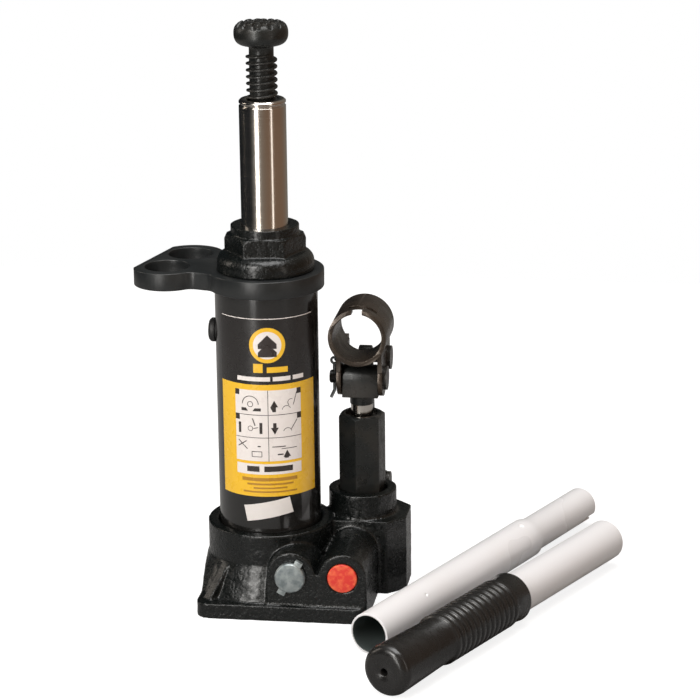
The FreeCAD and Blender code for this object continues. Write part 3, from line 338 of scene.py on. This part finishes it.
DARK = ink("ink_dark", (0.03, 0.022, 0.02))
AMBER = ink("ink_amber", (0.45, 0.22, 0.02))


def slot_of(node):
    rows = frame["record"]["subparts"]
    return next(row["material_slot"] for row in rows if row["node"] == node)


def dress(thing, material):
    """Gives a mesh one material in every slot it has."""
    thing.data.materials.clear()
    thing.data.materials.append(material)
    return thing


def dress_frame():
    for name, thing in NODES.items():
        dress(thing, MATERIALS[slot_of(name)])
    dress(NODES["handle_socket"], SOCKET_FINISH)


# ------------------------------------------------------------ finer copies of CAD nodes
def welded_copy(node, name, dissolve=True):
    """A new mesh with the node's shape, its seams closed and flat faces merged."""
    mesh = bmesh.new()
    mesh.from_mesh(NODES[node].data)
    bmesh.ops.remove_doubles(mesh, verts=mesh.verts, dist=0.002 * MM)
    if dissolve:
        bmesh.ops.dissolve_limit(mesh, angle_limit=math.radians(0.6), verts=mesh.verts, edges=mesh.edges)
    data = bpy.data.meshes.new(name)
    mesh.to_mesh(data)
    mesh.free()
    piece = bpy.data.objects.new(name, data)
    bpy.context.scene.collection.objects.link(piece)
    return piece


def apply_modifiers(piece):
    """Bakes a piece's modifiers into its mesh."""
    graph = bpy.context.evaluated_depsgraph_get()
    made = bpy.data.meshes.new_from_object(piece.evaluated_get(graph), depsgraph=graph)
    piece.modifiers.clear()
    piece.data = made
    return piece


def shade(piece, angle=35):
    """Smooth shading that keeps edges sharper than an angle."""
    for face in piece.data.polygons:
        face.use_smooth = True
    piece.data.set_sharp_from_angle(angle=math.radians(angle))


def stand_for(piece, node, material=None):
    """The piece takes a node's place, body, slot and material."""
    slot = slot_of(node)
    dress(piece, material or MATERIALS[slot])
    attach(piece, NODES[node]["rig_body"])
    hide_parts(node)
    return piece


def bevelled(node, width, segments=3, material=None, angle=32):
    """The node with its edges really rounded."""
    piece = welded_copy(node, node + "_finished")
    bevel = piece.modifiers.new("bevel", "BEVEL")
    bevel.width = width
    bevel.segments = segments
    bevel.limit_method = "ANGLE"
    bevel.angle_limit = math.radians(angle)
    bevel.use_clamp_overlap = True
    apply_modifiers(piece)
    shade(piece, 40)
    return stand_for(piece, node, material)


def cast_form(node, voxel, rounds, lump=0.0, lump_size=6.0, name="_casting"):
    """The node as a casting: melted corners and a lightly uneven skin."""
    piece = welded_copy(node, node + name, dissolve=False)
    remesh = piece.modifiers.new("remesh", "REMESH")
    remesh.mode = "VOXEL"
    remesh.voxel_size = voxel
    remesh.use_smooth_shade = True
    melt = piece.modifiers.new("melt", "LAPLACIANSMOOTH")
    melt.iterations = rounds
    melt.lambda_factor = 1.0
    melt.use_volume_preserve = True
    if lump:
        skin = bpy.data.textures.new(node + "_skin", "CLOUDS")
        skin.noise_scale = lump_size * MM
        skin.noise_depth = 2
        rough = piece.modifiers.new("rough", "DISPLACE")
        rough.texture = skin
        rough.texture_coords = "GLOBAL"
        rough.strength = lump
        rough.mid_level = 0.62
    apply_modifiers(piece)
    for face in piece.data.polygons:
        face.use_smooth = True
    return stand_for(piece, node)


# ------------------------------------------------------------ pieces made on a lathe
def lathe(name, profile, start, axis, segments=96, closed=True):
    """A mesh turned from (radius, along) points about an axis, in millimetres."""
    along = Vector(axis).normalized()
    side = along.orthogonal().normalized()
    other = along.cross(side)
    mesh = bmesh.new()
    rings = []
    for index in range(segments):
        angle = 2 * math.pi * index / segments
        out = side * math.cos(angle) + other * math.sin(angle)
        rings.append([mesh.verts.new(start + (along * far + out * radius) * MM) for radius, far in profile])
    steps = len(profile) if closed else len(profile) - 1
    for index in range(segments):
        near, far = rings[index], rings[(index + 1) % segments]
        for step in range(steps):
            after = (step + 1) % len(profile)
            mesh.faces.new((near[step], near[after], far[after], far[step]))
    bmesh.ops.remove_doubles(mesh, verts=mesh.verts, dist=0.001 * MM)
    bmesh.ops.recalc_face_normals(mesh, faces=mesh.faces)
    data = bpy.data.meshes.new(name)
    mesh.to_mesh(data)
    mesh.free()
    piece = bpy.data.objects.new(name, data)
    bpy.context.scene.collection.objects.link(piece)
    return piece


def round_corner(radius, far, across, along, size, count=6):
    """Points of a quarter-round corner; across and along are its two directions' signs."""
    turn = [math.pi / 2 * index / count for index in range(count + 1)]
    return [(radius + across * size * math.sin(t), far + along * size * (1 - math.cos(t))) for t in turn]


def grip():
    """Moulded grip: rounded nose with a vent, thirteen round ribs and a collar.

    The plain part and the collar narrow by a groove's depth towards the ribs.
    """
    mouth = MOUNTS["upper_handle_mouth"]
    axis = Vector(mouth["axis"])
    start = Vector(mouth["pos_m"]) - axis * GRIP_BACK
    outer, inner, vent, nose, wall = 11.5, TUBE["outer"], 1.6, 4.2, 4.0
    first_rib, pitch, ribs, groove, length = 41.5, 4.0, 13, 1.2, 103.5
    groove_share, steps = 0.16, 14
    profile = [(vent, wall), (vent, 0.5), (vent + 0.5, 0.0)]
    profile += round_corner(outer - nose, 0.0, 1, 1, nose, 10)
    for index in range(ribs * steps + 1):
        place = index / steps
        from_groove = min(place % 1, 1 - place % 1)
        dip = groove * math.exp(-(from_groove / groove_share) ** 2)
        profile.append((outer - dip, first_rib + place * pitch))
    profile += [(outer, length - 1.0), (outer - 0.3, length - 0.3), (outer - 1.0, length)]
    profile += [(inner, length), (inner, wall)]
    piece = lathe("handle_grip_moulded", profile, start, axis)
    shade(piece, 50)
    return stand_for(piece, "handle_grip")


SADDLE = {"core": 5.5, "crest": 7.0, "pitch": 3.0, "bottom": 194.0, "neck": 252.0, "foot": 256.0, "top": 266.5}


def saddle_top(x, y):
    """Height of the cross-cut crown over a point, in millimetres."""
    pitch, depth, width = 4.8, 1.7, 0.95
    low = 0.0
    for across in ((x + y) / math.sqrt(2), (x - y) / math.sqrt(2)):
        offset = (across / pitch - 0.5) % 1 * pitch
        from_groove = min(offset, pitch - offset)
        low = max(low, depth * math.exp(-(from_groove / width) ** 4))
    crown = 0.5 * (x * x + y * y) / 110
    return SADDLE["top"] - crown - low


def screw_and_saddle():
    """The extension screw: forged round saddle with a cross-cut crown on a threaded rod."""
    core, top, foot = SADDLE["core"], SADDLE["top"], SADDLE["foot"]
    profile = [(0, SADDLE["bottom"]), (core - 0.6, SADDLE["bottom"]), (core, SADDLE["bottom"] + 0.6)]
    profile += [(core, SADDLE["neck"]), (core, foot - 1.2), (core + 0.5, foot - 0.3), (core + 1.4, foot)]
    half = (top - foot) / 2
    bulge, waist = 12.1, 6.9
    for index in range(1, 30):
        angle = math.radians(-90 + 180 * index / 30)
        radius = waist + (bulge - waist) * math.copysign(abs(math.cos(angle)) ** 0.8, 1)
        profile.append((radius, foot + half + half * math.copysign(abs(math.sin(angle)) ** 0.85, angle)))
    profile += [(waist * (1 - index / 24), top) for index in range(25)]
    piece = lathe("extension_screw_forged", profile, Vector(), (0, 0, 1), 144, closed=False)
    for vertex in piece.data.vertices:
        height = saddle_top(vertex.co.x / MM, vertex.co.y / MM) * MM
        if vertex.co.z > height:
            vertex.co.z = height
    ridge = thread_ridge()
    mesh = bmesh.new()
    mesh.from_mesh(piece.data)
    mesh.from_mesh(ridge)
    mesh.to_mesh(piece.data)
    mesh.free()
    shade(piece, 60)
    return stand_for(piece, "extension_screw")


def thread_ridge():
    """One right-handed ridge wound round the core, its crest rounded off."""
    core, crest, pitch = SADDLE["core"] - 0.3, SADDLE["crest"], SADDLE["pitch"]
    low, high = SADDLE["bottom"] + 4.2, SADDLE["neck"]
    outline = [(core, -1.0), (crest - 0.75, -0.62), (crest - 0.2, -0.45), (crest, -0.2)]
    outline += [(radius, -height) for radius, height in reversed(outline)]
    per_turn = 60
    count = int((high - low) / pitch * per_turn)
    mesh = bmesh.new()
    sections = []
    for index in range(count + 1):
        angle = 2 * math.pi * index / per_turn
        base = low + pitch * index / per_turn
        ends = min(1.0, index / 12, (count - index) / 12)
        section = []
        for radius, height in outline:
            out = core + (radius - core) * ends
            spot = (out * math.cos(angle) * MM, out * math.sin(angle) * MM, (base + height) * MM)
            section.append(mesh.verts.new(spot))
        sections.append(section)
    for near, far in zip(sections, sections[1:]):
        for step in range(len(outline)):
            after = (step + 1) % len(outline)
            mesh.faces.new((near[step], near[after], far[after], far[step]))
    mesh.faces.new(sections[0])
    mesh.faces.new(sections[-1])
    bmesh.ops.recalc_face_normals(mesh, faces=mesh.faces)
    data = bpy.data.meshes.new("ridge")
    mesh.to_mesh(data)
    mesh.free()
    return data


def lower_tube():
    """The lower tube: an abrupt shoulder, a slotted key end and punched dimples.

    The lock hole is missing: its cut, the last one, leaves the tube's wall closed.
    """
    mouth = MOUNTS["lower_handle_mouth"]
    axis = -Vector(mouth["axis"])
    start = Vector(mouth["pos_m"]) - axis * MOUTH_BACK
    outer, inner, end = TUBE["outer"], TUBE["inner"], TUBE["length"]
    step = TUBE["straight"]
    profile = [(inner, 0.25), (inner + 0.25, 0), (outer - 0.25, 0), (outer, 0.25)]
    profile += [(outer, place) for place in (22, 32, 126, 136, step + 2.6)]
    profile += [(outer - 0.15, step + 3.0), (TUBE["swage"] + 0.1, step + 3.9), (TUBE["swage"], step + 4.3)]
    profile += [(TUBE["swage"], place) for place in (end - 10, end - 0.2)]
    profile += [(TUBE["swage"] - 0.2, end), (TUBE["swage_inner"] + 0.2, end), (TUBE["swage_inner"], end - 0.2)]
    profile += [(TUBE["swage_inner"], place) for place in (end - 10, step + 4)]
    profile += [(inner, step), (inner, 32), (inner, 22)]
    piece = lathe("lower_handle_tube_drawn", profile, start, axis, 128)
    up = Vector((0, 0, 1))
    across = axis.cross(up)
    for far, lean, radius in DIMPLES:
        out = (up * math.cos(lean) + across * math.sin(lean)) * (outer + 0.9) * MM
        punch(piece, start + axis * far * MM + out, radius * MM)
    turn = math.radians(SLOT["turn"])
    wide = -up * math.cos(turn) - across * math.sin(turn)
    through = up * math.sin(turn) - across * math.cos(turn)
    depth = SLOT["depth"]
    middle_of_slot = start + axis * (end - depth / 2 + 1) * MM
    mortise(piece, middle_of_slot, (wide, through, axis), (SLOT["width"], 2 * outer, depth + 2))
    hole = SLOT["hole"]
    top = start + axis * (hole[0] + hole[2] / 2) * MM + up * outer * MM
    mortise(piece, top, (up, across, axis), (outer, hole[1], hole[2]))
    shade(piece, 30)
    return stand_for(piece, "lower_handle_tube", white_paint("white_paint_lower", start, axis))


def upper_tube():
    """The upper tube, open at its far end."""
    mouth = MOUNTS["upper_handle_mouth"]
    axis = Vector(mouth["axis"])
    start = Vector(mouth["pos_m"]) - axis * GRIP_BACK
    outer, inner = TUBE["outer"], TUBE["inner"]
    low, high = 4.0, 191.0
    profile = [(inner, low), (outer, low), (outer, high - 0.25), (outer - 0.25, high)]
    profile += [(inner + 0.25, high), (inner, high - 0.25)]
    piece = lathe("upper_handle_tube_drawn", profile, start, axis, 128)
    shade(piece, 30)
    return stand_for(piece, "upper_handle_tube", white_paint("white_paint_upper", start, axis))


def punch(piece, place, radius):
    """Cuts a shallow round dimple into a piece."""
    ball = bmesh.new()
    bmesh.ops.create_uvsphere(ball, u_segments=24, v_segments=12, radius=radius)
    carve(piece, ball, Matrix.Translation(place))


def mortise(piece, place, directions, sizes):
    """Cuts a box-shaped opening, in millimetres along three directions, through a piece."""
    block = bmesh.new()
    bmesh.ops.create_cube(block, size=1)
    columns = [direction * length * MM for direction, length in zip(directions, sizes)]
    carve(piece, block, Matrix.Translation(place) @ Matrix(columns).transposed().to_4x4())


def carve(piece, shape, matrix):
    """Cuts a closed mesh, placed by a matrix, out of a piece."""
    shape.transform(matrix)
    bmesh.ops.recalc_face_normals(shape, faces=shape.faces)
    data = bpy.data.meshes.new("tool")
    shape.to_mesh(data)
    shape.free()
    tool = bpy.data.objects.new("tool", data)
    bpy.context.scene.collection.objects.link(tool)
    bpy.context.view_layer.update()
    cut = piece.modifiers.new("cut", "BOOLEAN")
    cut.operation = "DIFFERENCE"
    cut.solver = "EXACT"
    cut.object = tool
    apply_modifiers(piece)
    bpy.data.objects.remove(tool)


# ------------------------------------------------------------ printed label
def wrap(across, up, lift):
    """A point of the flat label on the reservoir's skin."""
    angle = LABEL_CENTRE + across / LABEL_SKIN
    radius = LABEL_SKIN + lift
    return Vector((radius * math.cos(angle), radius * math.sin(angle), up))


def decal(name, outlines, material, lift, step=1.2 * MM):
    """Flat closed outlines, in (across, height) millimetres, laid round the tube."""
    mesh = bmesh.new()
    for outline in outlines:
        mesh.faces.new([mesh.verts.new((x * MM, y * MM, 0)) for x, y in outline])
    bmesh.ops.triangulate(mesh, faces=mesh.faces[:])
    left = min(v.co.x for v in mesh.verts)
    right = max(v.co.x for v in mesh.verts)
    cuts = int((right - left) / step)
    for index in range(1, cuts + 1):
        across = left + index * (right - left) / (cuts + 1)
        everything = mesh.verts[:] + mesh.edges[:] + mesh.faces[:]
        bmesh.ops.bisect_plane(mesh, geom=everything, plane_co=(across, 0, 0), plane_no=(1, 0, 0))
    for vertex in mesh.verts:
        vertex.co = wrap(vertex.co.x, vertex.co.y, lift)
    data = bpy.data.meshes.new(name)
    mesh.to_mesh(data)
    mesh.free()
    piece = bpy.data.objects.new(name, data)
    bpy.context.scene.collection.objects.link(piece)
    thick = piece.modifiers.new("thick", "SOLIDIFY")
    thick.thickness = 0.03 * MM
    thick.offset = 0
    apply_modifiers(piece)
    for face in piece.data.polygons:
        face.use_smooth = False
    dress(piece, material)
    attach(piece, "jack_body")
    return piece


def bar(left, low, right, high):
    return [(left, low), (right, low), (right, high), (left, high)]


def arc_points(x, y, radius, start, end, count):
    step = math.radians(end - start) / count
    first = math.radians(start)
    turns = [first + i * step for i in range(count + 1)]
    return [(x + radius * math.cos(turn), y + radius * math.sin(turn)) for turn in turns]


def arc_band(x, y, inner, outer, start=0, end=360, count=40):
    """A curved band as short four-sided outlines."""
    far = arc_points(x, y, outer, start, end, count)
    near = arc_points(x, y, inner, start, end, count)
    return [[near[i], far[i], far[i + 1], near[i + 1]] for i in range(count)]


def arrow(x, low, high, way=1):
    """A plain upright arrow; way is 1 for up and -1 for down."""
    stem, head, rise = 0.75, 1.75, 3.2
    if way < 0:
        low, high = high, low
    neck = high - way * rise
    right_side = [(x + stem, low), (x + stem, neck), (x + head, neck)]
    left_side = [(x - head, neck), (x - stem, neck)]
    return [(x - stem, low)] + right_side + [(x, high)] + left_side


def line(x1, y1, x2, y2, width=0.3):
    run = Vector((x2 - x1, y2 - y1))
    side = Vector((-run.y, run.x)).normalized() * width / 2
    ends = ((x1, y1, 1), (x1, y1, -1), (x2, y2, -1), (x2, y2, 1))
    return [(x + way * side.x, y + way * side.y) for x, y, way in ends]


def print_label():
    """Yellow field, white panel of plain pictures, a round mark and text-free bars."""
    low = LABEL_LOW.z / MM
    high = LABEL_HIGH.z / MM
    half = LABEL_HALF * LABEL_SKIN / MM
    field_top = 106.6
    decal("label_yellow", [bar(-half, low, half, field_top)], YELLOW, 0.05 * MM)
    decal("label_edge", [bar(-half + 1, high - 0.5, half - 1, high - 0.15)], PALE, 0.05 * MM)
    mark = 124.9
    decal("mark_ring", arc_band(0, mark, 6.4, 8.2), YELLOW, 0.05 * MM)
    decal("mark_disc", arc_band(0, mark, 0.01, 6.4), PALE, 0.05 * MM)
    chevron = [(-4.2, 0), (0, 4.2), (4.2, 0), (4.2, 2.2), (0, 6.4), (-4.2, 2.2)]
    chevrons = [[(x, low_edge + y) for x, y in chevron] for low_edge in (mark - 5.4, mark - 1.6)]
    decal("mark_chevrons", chevrons, DARK, 0.1 * MM)
    decal("title_bars", [bar(-6.5, 112.2, -2.2, 116.4), bar(-0.4, 112.2, 9.2, 114.8)], YELLOW, 0.05 * MM)
    title = [bar(left, 108.2, right, 110.2) for left, right in ((-14.5, 1.0), (2.2, 10.4), (11.6, 17.4))]
    decal("title_line", title, PALE, 0.05 * MM)
    print_panel()
    decal("number_strip", [bar(-15.6, 64.3, 15.4, 69.3)], PALE, 0.1 * MM)
    decal("number_bars", [bar(-10.4, 65.6, -4.6, 68.2), bar(-2.4, 65.6, 10.8, 68.2)], DARK, 0.15 * MM)
    lines = [bar(-13, 61.1, 13, 62.7), bar(-10.5, 59.2, 11, 60.1)]
    lines += [bar(-7.5, 57.4, 8, 58.2), bar(-12.5, 55.6, 12.8, 56.4)]
    decal("maker_lines", lines, AMBER, 0.1 * MM)


def print_panel():
    """The white panel: six cells of plain pictures between thin rules."""
    left, right, low, high, split = -15.8, 15.6, 70.6, 104.0, -0.2
    rows = (92.4, 81.7)
    decal("panel", [bar(left, low, right, high)], PALE, 0.1 * MM)
    rules = [bar(left, y - 0.13, right, y + 0.13) for y in rows]
    rules.append(bar(split - 0.13, low, split + 0.13, high))
    decal("panel_rules", rules, DARK, 0.15 * MM)
    corners = [bar(x, y - 2.6, x + 2.2, y) for x in (left, right - 2.2) for y in (high, rows[0])]
    decal("panel_corners", corners, DARK, 0.15 * MM)
    wheel = arc_band(-8.3, 97.4, 3.6, 3.95, 0, 180, 18) + arc_band(-8.3, 97.4, 1.1, 1.4, 0, 360, 16)
    blocks = [[(-12.6, 94.2), (-9.4, 94.2), (-10.4, 95.6), (-12.6, 95.6)]]
    blocks.append([(-7.2, 94.2), (-3.4, 94.2), (-3.4, 95.6), (-6.2, 95.6)])
    decal("picture_wheel", wheel + blocks, DARK, 0.15 * MM)
    arrows = [arrow(2.6, 93.8, 99.2), arrow(2.7, 83.2, 88.6, -1), arrow(8.2, 71.8, 75.6)]
    decal("picture_arrows", arrows, DARK, 0.15 * MM)
    turns = arc_band(8.2, 94.4, 1.9, 2.15, 20, 170, 14) + arc_band(10.4, 97.8, 1.4, 1.65, 60, 230, 12)
    turns += arc_band(8.6, 83.9, 1.9, 2.15, 10, 160, 14)
    turns += [line(10.4, 85.2, 13.4, 89.4), line(11.6, 96.5, 13.4, 102.4)]
    decal("picture_turns", turns, DARK, 0.15 * MM)
    parts = [bar(-14.2, 83.6, -13.0, 88.6), bar(-4.2, 83.6, -2.9, 88.8)]
    parts += [line(-7.4, 90.8, -6.2, 87.4, 0.5), line(-7.0, 86, -4.8, 86.6)]
    parts += arc_band(-8.4, 86.0, 1.0, 1.25, 0, 360, 16)
    decal("picture_parts", parts, DARK, 0.15 * MM)
    cross = [line(-14.4, 80.2, -10.0, 76.2, 0.4), line(-14.6, 77.2, -10.4, 80.0, 0.4)]
    cross += [bar(-8.0, 72.6, -3.2, 72.9), bar(-8.0, 75.0, -3.2, 75.3)]
    cross += [bar(-8.0, 72.6, -7.7, 75.3), bar(-3.5, 72.6, -3.2, 75.3)]
    cross += [bar(1.4, 77.2, 7.6, 77.6), bar(3.8, 73.4, 6.4, 74.0)]
    cross += [bar(-5.2, 77.4, -3.8, 77.9), bar(5.6, 76.2, 13, 76.5)]
    decal("picture_cross", cross, DARK, 0.15 * MM)


# ------------------------------------------------------------ stage
def area_light(name, place, target, width, height, power, colour=(1, 1, 1)):
    lamp = bpy.data.lights.new(name, "AREA")
    lamp.shape = "RECTANGLE"
    lamp.size = width
    lamp.size_y = height
    lamp.energy = power
    lamp.color = colour
    thing = bpy.data.objects.new(name, lamp)
    thing.visible_camera = False
    thing.location = place
    thing.rotation_euler = (Vector(target) - Vector(place)).to_track_quat("-Z", "Y").to_euler()
    bpy.context.scene.collection.objects.link(thing)


def stage():
    data = bpy.data.meshes.new("floor")
    reach = 0.56
    corners = [(-reach, -reach, 0), (reach, -reach, 0), (reach, reach, 0), (-reach, reach, 0)]
    data.from_pydata(corners, [], [(0, 1, 2, 3)])
    floor = bpy.data.objects.new("floor", data)
    floor.location.z = -0.05 * MM
    bpy.context.scene.collection.objects.link(floor)
    dress(floor, floor_paper())
    studio_world()
    aim = (0.03, 0, 0.12)
    level = (0, 0, 0.4)
    area_light("left_key", (-0.46, -1.26, 0.4), level, 0.26, 1.9, 15, (1.0, 0.98, 0.95))
    area_light("right_strip", (1.0, -0.77, 0.35), level, 0.12, 1.7, 1.6, (1.0, 0.95, 0.9))
    area_light("front_soft", (-0.75, -1.3, 1.35), aim, 0.7, 0.5, 13, (1.0, 0.98, 0.95))
    area_light("left_side", (-1.5, 0.1, 0.75), aim, 0.35, 0.9, 3.5, (1.0, 0.9, 0.8))
    area_light("top", (0.15, -0.15, 1.7), aim, 1.1, 1.1, 24)


def studio_world():
    """A dim warm room, darkest behind on the left, white where it is looked at directly."""
    world = bpy.data.worlds.new("studio")
    world.use_nodes = True
    nodes, links = world.node_tree.nodes, world.node_tree.links
    room = nodes["Background"]
    room.inputs["Strength"].default_value = 0.24
    direction = nodes.new("ShaderNodeTexCoord").outputs["Generated"]
    facing = nodes.new("ShaderNodeVectorMath")
    facing.operation = "DOT_PRODUCT"
    facing.inputs[1].default_value = (-0.94, 0.34, 0)
    links.new(direction, facing.inputs[0])
    walls = nodes.new("ShaderNodeValToRGB")
    walls.color_ramp.elements[0].position = 0.1
    walls.color_ramp.elements[0].color = (0.95, 0.62, 0.42, 1)
    walls.color_ramp.elements[1].position = 0.78
    walls.color_ramp.elements[1].color = (0.05, 0.06, 0.07, 1)
    front = walls.color_ramp.elements.new(0.5)
    front.color = (1.0, 0.93, 0.82, 1)
    half = nodes.new("ShaderNodeMapRange")
    half.inputs["From Min"].default_value = -1
    links.new(facing.outputs["Value"], half.inputs["Value"])
    links.new(half.outputs["Result"], walls.inputs["Fac"])
    links.new(walls.outputs["Color"], room.inputs["Color"])
    paper = nodes.new("ShaderNodeBackground")
    paper.inputs["Color"].default_value = (1, 1, 1, 1)
    paper.inputs["Strength"].default_value = 1.0
    choose = nodes.new("ShaderNodeMixShader")
    path = nodes.new("ShaderNodeLightPath")
    links.new(path.outputs["Is Camera Ray"], choose.inputs["Fac"])
    links.new(room.outputs["Background"], choose.inputs[1])
    links.new(paper.outputs["Background"], choose.inputs[2])
    links.new(choose.outputs["Shader"], nodes["World Output"].inputs["Surface"])
    bpy.context.scene.world = world


def camera():
    """Long lens, above and a little to the right, tilted most of a degree."""
    place = Vector((0.2219, -1.2315, 0.486))
    yaw, pitch, roll = math.radians(8.5), math.radians(16.5), math.radians(-0.7)
    ahead = Vector((-math.sin(yaw) * math.cos(pitch), math.cos(yaw) * math.cos(pitch), -math.sin(pitch)))
    right = Vector((math.cos(yaw), math.sin(yaw), 0))
    up = right.cross(ahead)
    turn = Matrix((right, up, -ahead)).transposed()
    lens = bpy.data.cameras.new("camera")
    lens.sensor_width = 36
    lens.lens = 148
    lens.clip_start = 0.05
    lens.clip_end = 30
    thing = bpy.data.objects.new("camera", lens)
    thing.matrix_world = Matrix.Translation(place) @ (turn @ Matrix.Rotation(roll, 3, "Z")).to_4x4()
    bpy.context.scene.collection.objects.link(thing)
    bpy.context.scene.camera = thing
    bpy.context.scene.view_settings.view_transform = "Standard"


# ------------------------------------------------------------ the jack
dress_frame()
cast_form("base_casting", 0.6 * MM, 14, 0.35 * MM, 5.0)
cast_form("cap_nut", 0.4 * MM, 8, 0.2 * MM, 4.0)
screw_and_saddle()
lower_tube()
upper_tube()
grip()
bevelled("safety_cover", 0.3 * MM)
bevelled("filler_plug", 0.4 * MM)
bevelled("ram", 0.15 * MM, 2)
bevelled("handle_bracket", 0.7 * MM)
bevelled("pump_cylinder", 0.35 * MM)
bevelled("plunger_head", 0.5 * MM)
bevelled("handle_socket", 0.3 * MM, material=SOCKET_FINISH)
bevelled("pump_link", 0.5 * MM)
bevelled("release_valve", 0.35 * MM)
print_label()
stage()
camera()
